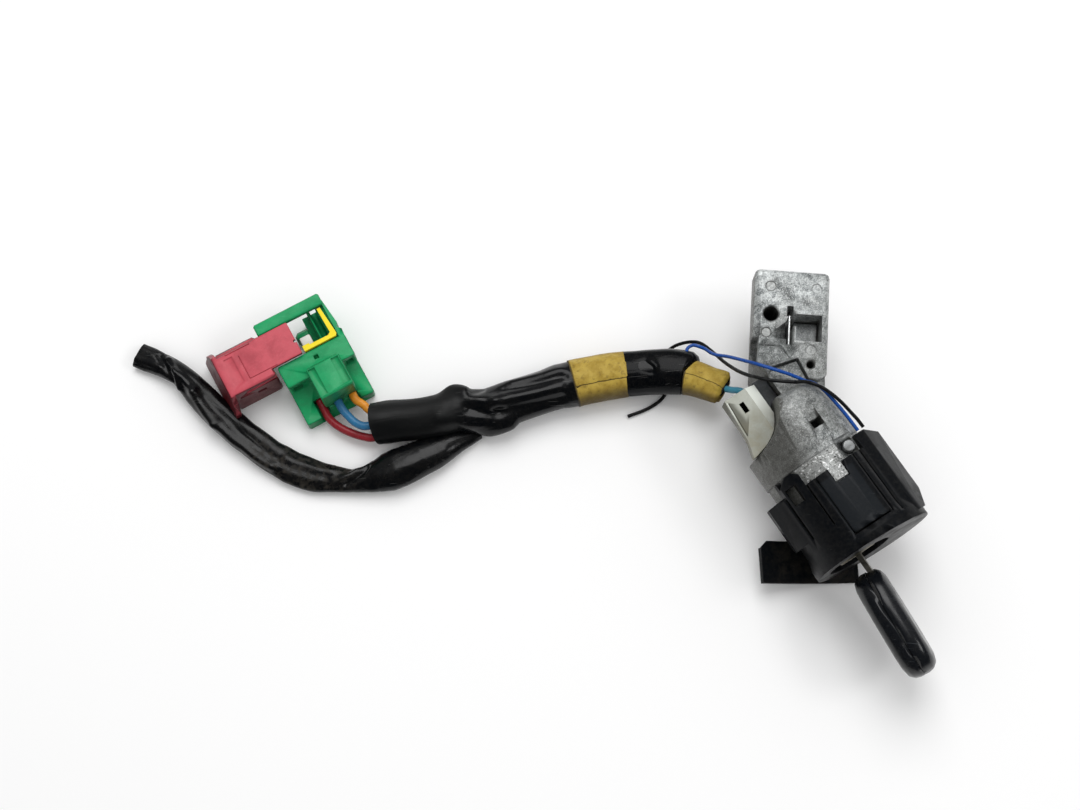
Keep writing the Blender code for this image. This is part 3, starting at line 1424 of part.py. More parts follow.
BLACK_ROUTE = [
    (-47.0, 115.4, 1.1), (-37.4, 113.4, 1.1), (-29.7, 113.4, 1.1), (-25.0, 115.4, 1.1),
    (-20.6, 121.0, 1.1), (-17.6, 127.0, 1.4), (-14.6, 131.0, 3.0), (-9.1, 131.4, 6.0),
    (-2.7, 128.6, 9.0), (0.6, 124.0, 13.0), (1.6, 116.0, 18.0), (1.6, 107.5, 25.0),
    (1.9, 99.4, 34.0), (3.4, 93.4, 40.6), (5.6, 89.6, 43.0), (12.1, 83.5, 44.2),
    (18.9, 77.9, 45.6), (22.4, 72.6, 47.0), (26.6, 65.9, 46.0), (30.0, 58.0, 43.9),
    (31.4, 51.0, 43.6), (31.8, 45.2, 43.2),
]
BLUE_ROUTE = [
    (-8.6, 121.6, 18.0), (-7.6, 124.2, 17.0), (-5.0, 124.6, 16.6), (-2.0, 121.4, 17.4),
    (0.0, 114.6, 22.6), (3.2, 108.3, 30.0), (6.0, 101.4, 38.0), (9.0, 95.2, 43.4),
    (14.8, 87.4, 44.6), (19.4, 81.6, 43.9), (24.0, 73.6, 43.9), (26.6, 64.2, 44.0),
    (28.2, 54.0, 43.9), (28.6, 45.2, 43.4),
]
SWITCH_WIRE_ROUTE = [
    (-4.3, 97.5, 20.8), (-3.0, 95.4, 23.0), (-1.4, 93.4, 25.2), (0.0, 91.2, 26.0), (0.4, 88.6, 26.0),
    (0.4, 87.2, 26.0),
]
WIRE_ENDS = {
    "wire_red": [(-167.4, 187.0, 5.2), (-163.6, 180.2, 5.2), (-159.4, 175.0, 5.6), (-155.4, 172.0, 6.2)],
    "wire_blue": [(-160.9, 188.4, 9.8), (-159.6, 182.6, 10.2), (-157.2, 178.4, 10.6), (-153.3, 176.5, 10.6)],
    "wire_orange": [(-152.0, 188.6, 9.6), (-151.2, 186.4, 9.5), (-151.0, 184.9, 9.4)],
}
BLACK = (0.012, 0.012, 0.015)
MUSTARD = (0.55, 0.4, 0.08)


def barrel_top(x, y, margin):
    """Height of a surface that lies margin above the casting, beside or on the barrel."""
    into_round = max(0.0, y - (BARREL_REAR_Y - BARREL_REAR_ROUND))
    if into_round >= BARREL_REAR_ROUND:
        return NECK_TOP_Z + margin if x > NECK_LEFT_X else 0.0
    radius = BARREL_R - BARREL_REAR_ROUND + math.sqrt(BARREL_REAR_ROUND**2 - into_round**2) + margin
    across = abs(x - BARREL_X)
    if across >= radius:
        return NECK_TOP_Z + margin if y > 66.0 else 0.0
    return AXIS_Z + math.sqrt(radius**2 - across**2)


def laid_wire(name, points, colour, clearance):
    """A thin wire that passes over the casting with a little air below it."""
    route = []
    for place in smooth_route(points, 4.6):
        least = barrel_top(place.x, place.y, SIGNAL_WIRE_R + clearance)
        route.append((place.x, place.y, max(place.z, least if place.z > 42.0 else place.z)))
    finished(tube(route, SIGNAL_WIRE_R, lock_frame, sides=1), name, colour, 0.4)


def trunk_route(length):
    """Points 1 mm apart on the trunk, the mouth first, carried straight on at the mouth if short."""
    route = smooth_route(TRUNK_ROUTE, 1.0)
    mouthwards = (route[0] - route[2]).normalized()
    while len(route) < length:
        route.insert(0, route[0] + mouthwards)
    return route


def trunk_piece(name, fine, start, end, radius, colour, roughness):
    """The stretch of the trunk from start to end (mm along it), with square ends."""
    start = int(start)
    last = int(end) - 1
    picks = [start, start + 1, *range(start + 6, last - 5, 6), last - 1, last]
    cord = tube([fine[i] for i in picks], radius, lock_frame)
    finished(cord, name, colour, roughness)


def harness():
    """Sleeves, tape, wires and the spare sleeve, each a plain tube of its real length."""
    first = HARNESS_SLEEVE_LENGTH
    second = first + TAPE_BAND_LENGTH
    third = second + REAR_SLEEVE_LENGTH
    fine = trunk_route(int(third) + REAR_TAPE_LENGTH)
    trunk_piece("harness_sleeve", fine, 0, first, SLEEVE_R, BLACK, 0.35)
    trunk_piece("tape_band", fine, first, second, TAPE_R, MUSTARD, 0.5)
    trunk_piece("rear_sleeve", fine, second, third, SLEEVE_R, BLACK, 0.35)
    trunk_piece("rear_tape", fine, third, len(fine), REAR_TAPE_R, MUSTARD, 0.5)
    switch_wire = tube(SWITCH_WIRE_ROUTE, 1.6, lock_frame)
    finished(switch_wire, "switch_wire", (0.03, 0.2, 0.3), 0.4)
    turn = math.radians(CONNECTOR_TURN)
    colours = ((0.35, 0.03, 0.05), (0.05, 0.2, 0.4), (0.7, 0.33, 0.02))
    for name, (hole_x, hole_z), colour in zip(WIRE_ENDS, WIRE_HOLES, colours):
        inside = []
        for y in (-13.0, -17.5, -22.0):
            x = CONNECTOR_AT[0] + hole_x * math.cos(turn) - y * math.sin(turn)
            inside.append((x, CONNECTOR_AT[1] + hole_x * math.sin(turn) + y * math.cos(turn), hole_z))
        route = smooth_route(inside + WIRE_ENDS[name], 4.0)
        finished(tube(route, WIRE_R, lock_frame), name, colour, 0.35)
    spare = tube(smooth_route(SPARE_ROUTE, 7.0), FREE_SLEEVE_R, lock_frame)
    finished(spare, "spare_sleeve", BLACK, 0.35)
    laid_wire("signal_wire_black", BLACK_ROUTE, (0.02, 0.02, 0.02), 2.6)
    laid_wire("signal_wire_blue", BLUE_ROUTE, (0.01, 0.07, 0.4), 0.6)


lock_housing()
lock_small_pieces()
lock_bolt()
cylinder_sleeve()
plug()
wafers()
drive_line()
return_spring()
switch_housing()
switch_base()
switch_contacts()
shroud()
antenna()
key()
connector_housing()
connector_slider()
connector_small_pieces()
harness()
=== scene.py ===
# %% [markdown]
# # A used ignition switch on a white table
# The object is the ignition switch and steering lock of a car: a die-cast housing with a
# bracket block, a black shroud round the key, a contact block at the back, and a taped
# harness that runs to a green and red connector. The solid model already holds every piece
# at its real size. This script gives each one its finish, and makes the soft pieces, such as
# sleeves, tapes and wires, as surfaces worked out with numpy.

# %% Load the solid model
import math

import bmesh
import bpy
import numpy as np
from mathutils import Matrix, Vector


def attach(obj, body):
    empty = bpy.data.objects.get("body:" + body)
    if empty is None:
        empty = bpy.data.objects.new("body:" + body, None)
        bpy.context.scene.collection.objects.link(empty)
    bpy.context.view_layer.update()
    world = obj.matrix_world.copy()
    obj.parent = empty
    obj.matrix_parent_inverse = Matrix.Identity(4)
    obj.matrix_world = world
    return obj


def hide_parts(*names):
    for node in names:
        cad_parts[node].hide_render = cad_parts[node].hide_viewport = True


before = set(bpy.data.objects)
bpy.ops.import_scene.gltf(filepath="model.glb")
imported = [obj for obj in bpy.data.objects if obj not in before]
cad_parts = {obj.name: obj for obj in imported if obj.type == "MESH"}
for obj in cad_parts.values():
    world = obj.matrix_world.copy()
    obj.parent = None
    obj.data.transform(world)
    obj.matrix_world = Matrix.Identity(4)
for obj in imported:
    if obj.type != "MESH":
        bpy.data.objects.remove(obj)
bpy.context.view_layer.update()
MM = 0.001
LOCK_PLACE = np.array([-10.25, -36.8, 0.0])


def in_lock(points):
    """Points given in mm in the lock's own frame, as metres in the part's frame."""
    return (np.asarray(points, dtype=float) + LOCK_PLACE) * MM


print("nodes:", len(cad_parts))

# %% [markdown]
# ## Camera
# The photograph looks down steeply, about 75 degrees above the table, from 70 cm away, with
# the lock turned 33 degrees in the picture. A 50 mm lens on a 36 mm sensor gives the same
# perspective: the connector far from the middle is seen a little from its side. The camera is
# placed by numbers, so every render repeats the same view.

# %% Camera
VIEW_TURN, VIEW_HEIGHT = -33.0, 75.0
camera_data = bpy.data.cameras.new("camera")
camera_data.lens = 50.0
camera_data.sensor_width = 36.0
camera_data.clip_start = 0.01
camera = bpy.data.objects.new("camera", camera_data)
bpy.context.scene.collection.objects.link(camera)
camera.location = in_lock([-182.0, -14.5, 703.4])
camera.rotation_euler = (math.radians(90.0 - VIEW_HEIGHT), 0.0, math.radians(VIEW_TURN))
bpy.context.scene.camera = camera
bpy.context.scene.view_settings.view_transform = "Standard"
print("camera at", [round(v, 3) for v in camera.location])

# %% [markdown]
# ## Colours and shader nodes
# The light and every finish are built from shader nodes. Written out one by one they would
# hide what a finish is made of, so a few helpers place a node, fill its inputs and hand back
# its output. Colours are written as they would be read from a screen.

# %% Node helpers
def srgb(red, green, blue):
    """A colour as read from a screen, 0 to 255, in the linear values that shaders use."""
    parts = np.array([red, green, blue]) / 255.0
    linear = np.where(parts <= 0.04045, parts / 12.92, ((parts + 0.055) / 1.055) ** 2.4)
    return (*[float(v) for v in linear], 1.0)


def put(tree, kind, sockets=None, **settings):
    """Add a node, set its options, and fill its inputs with values or with other outputs."""
    made = tree.nodes.new(kind)
    for option, value in settings.items():
        setattr(made, option, value)
    for key, value in (sockets or {}).items():
        if isinstance(value, bpy.types.NodeSocket):
            tree.links.new(value, made.inputs[key])
        else:
            made.inputs[key].default_value = value
    return made


def math_node(tree, operation, first, second=0.0, third=0.0):
    """One calculation on numbers or sockets."""
    made = put(tree, "ShaderNodeMath", {0: first, 1: second, 2: third}, operation=operation)
    return made.outputs[0]


def vector_math(tree, operation, first, second=(0.0, 0.0, 0.0)):
    """One calculation on vectors: a length, distance or dot product comes out as a number."""
    made = put(tree, "ShaderNodeVectorMath", {0: first, 1: second}, operation=operation)
    return made.outputs["Value" if operation in ("LENGTH", "DISTANCE", "DOT_PRODUCT") else "Vector"]


def ramp(tree, value, low, high, to_low=0.0, to_high=1.0):
    """Stretch the range low to high onto to_low to to_high, smoothly and clamped."""
    made = put(
        tree,
        "ShaderNodeMapRange",
        {0: value, 1: low, 2: high, 3: to_low, 4: to_high},
        interpolation_type="SMOOTHSTEP",
    )
    return made.outputs[0]


print("a middle grey of 128 is", round(srgb(128, 128, 128)[0], 3), "in a shader")

# %% [markdown]
# ## Table and light
# The unit lies on a plain white surface. The light is soft and even on the table, so a colour
# that faces up renders about as it is written. What glossy surfaces mirror is another matter:
# black vinyl is nearly black with a few broad highlights, so the world it mirrors is dark, and
# one large window lamp gives the highlights on what leans away from the camera. A weak lamp
# at the right side shows the edges.

# %% Table
TABLE_REACH, TABLE_Z = 3.0, -0.0002
corners = np.array([(-1.0, -1.0), (1.0, -1.0), (1.0, 1.0), (-1.0, 1.0)]) * TABLE_REACH
table = bpy.data.objects.new("table", bpy.data.meshes.new("table"))
table.data.from_pydata([(x, y, TABLE_Z) for x, y in corners.tolist()], [], [(0, 1, 2, 3)])
bpy.context.scene.collection.objects.link(table)
table_finish = bpy.data.materials.new("white_table")
table_finish.use_nodes = True
table_inputs = table_finish.node_tree.nodes["Principled BSDF"].inputs
table_inputs["Base Color"].default_value = (0.98, 0.98, 0.98, 1.0)
table_inputs["Roughness"].default_value = 0.9
table_inputs["Specular IOR Level"].default_value = 0.0
table.data.materials.append(table_finish)
print("table reaches", TABLE_REACH, "m each way")

# %% World
SKY_LEVEL = 0.62
MIRRORED_DARK, MIRRORED_BRIGHT = 0.05, 0.3
WINDOW_WAY = (0.52, 0.8, 0.3)
world = bpy.data.worlds.new("studio")
bpy.context.scene.world = world
world.use_nodes = True
sky = world.node_tree
sky.nodes.clear()
rays = put(sky, "ShaderNodeLightPath").outputs
seen = math_node(sky, "MAXIMUM", rays["Is Camera Ray"], rays["Is Transmission Ray"])
direction = put(sky, "ShaderNodeTexCoord").outputs["Generated"]
towards_window = vector_math(sky, "DOT_PRODUCT", direction, WINDOW_WAY)
mirrored = ramp(sky, towards_window, 0.0, 0.9, MIRRORED_DARK, MIRRORED_BRIGHT)
unlike = put(
    sky,
    "ShaderNodeMix",
    {"Factor": rays["Is Glossy Ray"], 2: SKY_LEVEL, 3: mirrored},
    data_type="FLOAT",
)
level = math_node(sky, "MAXIMUM", seen, unlike.outputs[0])
glow = put(sky, "ShaderNodeBackground", {"Color": (1.0, 1.0, 1.0, 1.0), "Strength": level})
put(sky, "ShaderNodeOutputWorld", {"Surface": glow.outputs[0]})
print("world lights with", SKY_LEVEL, "and is mirrored with at most", MIRRORED_BRIGHT)


# %% Lamps
def area_lamp(name, place, target, size, power):
    """A rectangular lamp of a size and power, at a place in metres, that faces its target."""
    data = bpy.data.lights.new(name, "AREA")
    data.shape = "RECTANGLE"
    data.size, data.size_y = size
    data.energy = power
    lamp = bpy.data.objects.new(name, data)
    bpy.context.scene.collection.objects.link(lamp)
    lamp.location = place
    back = (np.asarray(place) - np.asarray(target)).tolist()
    lamp.rotation_euler = Vector(back).to_track_quat("Z", "Y").to_euler()


MIDDLE = (-0.09, 0.09, 0.0)
area_lamp("lamp_side", (0.79, -0.48, 1.0), MIDDLE, (0.4, 0.3), 2.2)
area_lamp("lamp_window", (0.268, 0.641, 1.236), MIDDLE, (0.9, 1.0), 9.5)
print("lamps:", [lamp.name for lamp in bpy.data.lights])

# %% [markdown]
# ## Surfaces from numpy
# Each soft piece is a grid of points: one direction runs along the piece, the other round
# it. The whole grid is worked out at once as an array, and only then handed to Blender. A
# tube's ends are turned in, so that each sleeve has a real wall at its mouth.

# %% Path along given points
def smooth_path(points, step):
    """Points an equal step apart on a smooth curve through the given points.

    Between b and c, with neighbours a and d, the curve is
    (2b + (c-a)t + (2a-5b+4c-d)t^2 + (3b-a-3c+d)t^3) / 2 for t from 0 to 1.
    """
    p = np.asarray(points, dtype=float)
    p = np.vstack([2 * p[0] - p[1], p, 2 * p[-1] - p[-2]])
    parts_per_span = 24
    t = np.linspace(0.0, 1.0, parts_per_span, endpoint=False)[None, :, None]
    a, b, c, d = (p[i:len(p) - 3 + i][:, None, :] for i in range(4))
    curve = 0.5 * (2 * b + (c - a) * t + (2 * a - 5 * b + 4 * c - d) * t**2 + (3 * b - a - 3 * c + d) * t**3)
    dense = np.vstack([curve.reshape(-1, 3), p[-2]])
    along = np.concatenate([[0.0], np.cumsum(np.linalg.norm(np.diff(dense, axis=0), axis=1))])
    count = max(2, int(round(along[-1] / step)) + 1)
    places = np.linspace(0.0, along[-1], count)
    return np.stack([np.interp(places, along, dense[:, k]) for k in range(3)], axis=1)


def path_length(path):
    """Length of a path in its own unit."""
    return float(np.linalg.norm(np.diff(path, axis=0), axis=1).sum())


def path_frame(path):
    """Unit vectors at each point of a path: along it, to its right, and up from it."""
    along = np.gradient(path, axis=0)
    along /= np.linalg.norm(along, axis=1, keepdims=True)
    right = np.cross(along, [0.0, 0.0, 1.0])
    right /= np.maximum(np.linalg.norm(right, axis=1, keepdims=True), 1e-9)
    up = np.cross(right, along)
    return along, right, up


print("length of a curve through three points:", round(path_length(smooth_path(np.eye(3), 0.01)), 2))


# %% Grid to mesh
def grid_piece(name, grid, chart):
    """A closed piece from a grid (rows, round, 3) in mm, which stays with the lock's body.

    Corners k and k + 1 of a row and of the next one are the corners of a face, and a fan of
    triangles round its middle closes each end. chart gives the place of each point along and
    round the piece, and becomes its own map.
    """
    rows, ring = grid.shape[:2]
    points = np.vstack([grid.reshape(-1, 3), grid[0].mean(axis=0), grid[-1].mean(axis=0)])
    row = np.arange(rows - 1)[:, None] * ring
    k = np.arange(ring)[None, :]
    nxt = (k + 1) % ring
    quads = np.stack([row + k, row + nxt, row + ring + nxt, row + ring + k], axis=-1).reshape(-1, 4)
    k, nxt = k[0], nxt[0]
    end = (rows - 1) * ring
    first = np.stack([np.full(ring, rows * ring), nxt, k], axis=-1)
    last = np.stack([np.full(ring, rows * ring + 1), end + k, end + nxt], axis=-1)
    mesh = bpy.data.meshes.new(name)
    mesh.from_pydata((points * MM).tolist(), [], quads.tolist() + first.tolist() + last.tolist())
    layer = mesh.uv_layers.new(name="along")
    u, v = (np.concatenate([part.reshape(-1), [part[0].mean(), part[-1].mean()]]) for part in chart)
    corners = np.empty(len(mesh.loops), dtype=np.int32)
    mesh.loops.foreach_get("vertex_index", corners)
    layer.data.foreach_set("uv", np.stack([u[corners], v[corners]], axis=1).astype(np.float32).ravel())
    work = bmesh.new()
    work.from_mesh(mesh)
    bmesh.ops.recalc_face_normals(work, faces=work.faces)
    work.to_mesh(mesh)
    work.free()
    mesh.shade_smooth()
    mesh.set_sharp_from_angle(angle=math.radians(50.0))
    piece = bpy.data.objects.new(name, mesh)
    bpy.context.scene.collection.objects.link(piece)
    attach(piece, "lock")
    return piece


print("surface helpers ready")

# %% [markdown]
# ## Shared effects for the finishes
# Age shows in the same few ways on every piece of this unit: edges rub pale, dust settles on
# what faces up, metal stains in blotches, and plastic gets fine scratches. Each of these is a
# node group with named inputs, so that a material only says how large and how strong. They
# could be painted as pictures instead, but a pattern worked out from the place on the piece
# needs no picture and stays sharp close up.

# %% Helpers for groups and masks
VECTOR, NUMBER = "NodeSocketVector", "NodeSocketFloat"


def new_group(name, inputs, *outputs):
    """An empty node group that takes a place and the named inputs, and puts out numbers."""
    group = bpy.data.node_groups.new(name, "ShaderNodeTree")
    group.interface.new_socket("Vector", in_out="INPUT", socket_type=VECTOR)
    for label, value in inputs.items():
        kind = VECTOR if isinstance(value, tuple) else NUMBER
        group.interface.new_socket(label, in_out="INPUT", socket_type=kind).default_value = value
    for label in outputs:
        kind = VECTOR if label == "Normal" else NUMBER
        group.interface.new_socket(label, in_out="OUTPUT", socket_type=kind)
    given = group.nodes.new("NodeGroupInput").outputs
    result = group.nodes.new("NodeGroupOutput").inputs
    return group, given, result


def use(tree, group, place, **values):
    """Place a node group at a place on the piece, and give its named inputs their values."""
    return put(tree, "ShaderNodeGroup", {"Vector": place, **values}, node_tree=group).outputs


def times(tree, first, second):
    """The product of two masks, or of a mask and a number."""
    return math_node(tree, "MULTIPLY", first, second)


def more(tree, base, mask, share):
    """The base with a share of a mask added: base + mask * share."""
    return math_node(tree, "MULTIPLY_ADD", mask, share, base)


def noise(tree, place, scale, detail, **sockets):
    """Cloudy noise between 0 and 1. Detail is the number of finer layers on top of it."""
    given = {"Vector": place, "Scale": scale, "Detail": detail, **sockets}
    return put(tree, "ShaderNodeTexNoise", given).outputs[0]


def split(tree, vector):
    """The x, y and z of a vector."""
    return put(tree, "ShaderNodeSeparateXYZ", {0: vector}).outputs


def facing(tree):
    """The x, y and z of the way the surface faces. z is 1 where it faces up."""
    return split(tree, put(tree, "ShaderNodeNewGeometry").outputs["Normal"])


def blend(tree, factor, first, second):
    """A colour between first and second."""
    made = put(tree, "ShaderNodeMix", {0: factor, 6: first, 7: second}, data_type="RGBA")
    return made.outputs[2]


def tint(tree, colour, mask, share, over):
    """Lay a colour over another by a share of a mask."""
    return blend(tree, times(tree, mask, share), colour, over)


print("mask helpers ready")

# %% [markdown]
# ## Blotches and rubbed edges
# Stains and worn places have no clear form, so a cloudy noise is cut between a low and a high
# level. Edges rub bare first. The Bevel node gives the normal that a rounded corner would
# have: where it turns away from the real face there is an edge, and a finer noise breaks the
# rubbed line up.

# %% Blotches
blotches, given, result = new_group("blotches", {"Scale": 200.0, "Low": 0.4, "High": 0.6}, "Mask")
cloud = noise(blotches, given["Vector"], given["Scale"], 5.0, Roughness=0.62, Distortion=0.3)
mask = put(blotches, "ShaderNodeMapRange", {0: cloud, 1: given["Low"], 2: given["High"]})
blotches.links.new(mask.outputs[0], result["Mask"])


def patches(tree, place, scale, low, high):
    """The mask of the blotches at a place on the piece."""
    return use(tree, blotches, place, Scale=scale, Low=low, High=high)["Mask"]


print("made the group", blotches.name)


# %% Rubbed edges
rubbed_edges, given, result = new_group(
    "rubbed_edges", {"Radius": 0.0005, "Scale": 900.0, "Amount": 1.0}, "Mask", "Normal"
)
rounded = put(rubbed_edges, "ShaderNodeBevel", {"Radius": given["Radius"]}, samples=6).outputs[0]
flat = put(rubbed_edges, "ShaderNodeNewGeometry").outputs["Normal"]
same = vector_math(rubbed_edges, "DOT_PRODUCT", rounded, flat)
turned_away = math_node(rubbed_edges, "SUBTRACT", 1.0, same)
broken = noise(rubbed_edges, given["Vector"], given["Scale"], 3.0)
strength = ramp(rubbed_edges, turned_away, 0.012, 0.16)
line = times(rubbed_edges, strength, ramp(rubbed_edges, broken, 0.35, 0.62))
rubbed_edges.links.new(times(rubbed_edges, line, given["Amount"]), result["Mask"])
rubbed_edges.links.new(rounded, result["Normal"])
print("groups:", [group.name for group in bpy.data.node_groups])

# %% [markdown]
# ## Dust and scratches
# Dust lies on what faces up and hardly on the sides, in patches. Scratches are noise drawn
# out 26 times along one way, of which only the highest crests are kept.

# %% Settled dust
settled_dust, given, result = new_group("settled_dust", {"Scale": 400.0, "Amount": 0.5}, "Mask")
upward = ramp(settled_dust, facing(settled_dust)[2], 0.1, 0.95, 0.25, 1.0)
cloud = noise(settled_dust, given["Vector"], given["Scale"], 8.0, Roughness=0.7)
dusty = times(settled_dust, upward, ramp(settled_dust, cloud, 0.38, 0.72))
settled_dust.links.new(times(settled_dust, dusty, given["Amount"]), result["Mask"])
print("made the group", settled_dust.name)

# %% Fine scratches
fine_scratches, given, result = new_group(
    "fine_scratches", {"Turn": (0.0, 0.0, 0.6), "Scale": 60.0, "Rarity": 0.7}, "Mask"
)
turned = {"Vector": given["Vector"], "Rotation": given["Turn"]}
turned_place = put(fine_scratches, "ShaderNodeMapping", turned)
drawn = vector_math(fine_scratches, "MULTIPLY", turned_place.outputs[0], (1.0, 26.0, 4.0))
streak = noise(fine_scratches, drawn, given["Scale"], 2.0, Distortion=0.4)
above = math_node(fine_scratches, "SUBTRACT", streak, given["Rarity"])
fine_scratches.links.new(ramp(fine_scratches, above, 0.0, 0.03), result["Mask"])
print("groups:", [group.name for group in bpy.data.node_groups])

# %% [markdown]
# ## The skin of a casting
# Zinc that was pressed into a steel mould has a fine grain: small dark pits and bright specks
# where it froze first. The mould's ejector pins leave round prints, which are rings with a
# smooth disc inside. A ring is found by its distance from the pin's middle line, seen from
# above, so it needs no shape of its own.

# %% Cast skin
cast_skin, given, result = new_group("cast_skin", {"Scale": 900.0}, "Height", "Pits", "Sparks")
flow = noise(cast_skin, given["Vector"], given["Scale"], 6.0, Roughness=0.7)
cells = noise(cast_skin, given["Vector"], times(cast_skin, given["Scale"], 1.7), 3.0, Roughness=0.55)
pits = ramp(cast_skin, cells, 0.4, 0.32)
height = math_node(cast_skin, "SUBTRACT", flow, times(cast_skin, pits, 0.6))
cast_skin.links.new(height, result["Height"])
cast_skin.links.new(pits, result["Pits"])
cast_skin.links.new(ramp(cast_skin, cells, 0.57, 0.66), result["Sparks"])
print("made the group", cast_skin.name)

# %% Round mark
round_mark, given, result = new_group(
    "round_mark", {"Centre": (0.0, 0.0, 0.0), "Radius": 0.0024}, "Disc", "Ring"
)
offset = vector_math(round_mark, "SUBTRACT", given["Vector"], given["Centre"])
from_above = vector_math(round_mark, "MULTIPLY", offset, (1.0, 1.0, 0.0))
past_edge = math_node(round_mark, "SUBTRACT", vector_math(round_mark, "LENGTH", from_above), given["Radius"])
round_mark.links.new(ramp(round_mark, past_edge, 0.0002, -0.0002), result["Disc"])
near_edge = math_node(round_mark, "ABSOLUTE", past_edge)
round_mark.links.new(ramp(round_mark, near_edge, 0.0005, 0.0001), result["Ring"])
print("groups:", [group.name for group in bpy.data.node_groups])

# %% [markdown]
# ## Finishes
# A finish is one material with its own shader. The shader's fixed numbers, such as the
# specular level, are set on the shader itself. Colour, roughness and relief come from the
# groups above.

# %% A new finish
finishes = {}


def new_finish(name, **fixed):
    """A material with a Principled shader, its tree, and the place on the piece in metres."""
    material = bpy.data.materials.new(name)
    material.use_nodes = True
    tree = material.node_tree
    shader = tree.nodes["Principled BSDF"]
    for label, value in fixed.items():
        shader.inputs[label.replace("_", " ")].default_value = value
    place = put(tree, "ShaderNodeTexCoord").outputs["Object"]
    finishes[name] = material
    return tree, shader, place


def wire_up(tree, shader, **sources):
    """Connect outputs to the shader's inputs by name."""
    for label, source in sources.items():
        tree.links.new(source, shader.inputs[label.replace("_", " ")])


def relief(tree, shader, height, distance, strength=1.0, base=None):
    """Give the shader a bump of that height, in metres, over an optional base normal."""
    sockets = {"Height": height, "Distance": distance, "Strength": strength}
    if base is not None:
        sockets["Normal"] = base
    wire_up(tree, shader, Normal=put(tree, "ShaderNodeBump", sockets).outputs[0])


def zone(tree, value, low, high, soft=0.0006):
    """A mask that is 1 where low < value < high, with soft ends."""
    rise = ramp(tree, value, low - soft, low + soft)
    return times(tree, rise, ramp(tree, value, high + soft, high - soft))


print("finish helpers ready")

# %% [markdown]
# ## Die-cast zinc
# The housing, the bolt and the cam are cast. A casting is never one grey: it is mottled in
# patches of three sizes, brown where grease has dried, and rubbed bright on its edges. Its
# sides are painted darker as shade. A plain metal shader would mirror the whole room, so the
# metal share is kept low and the mottling carries the look.

# %% Mottled casting
# In radians per metre of depth, which is one turn of the thread per millimetre.
THREAD_TURNS = 6283.0


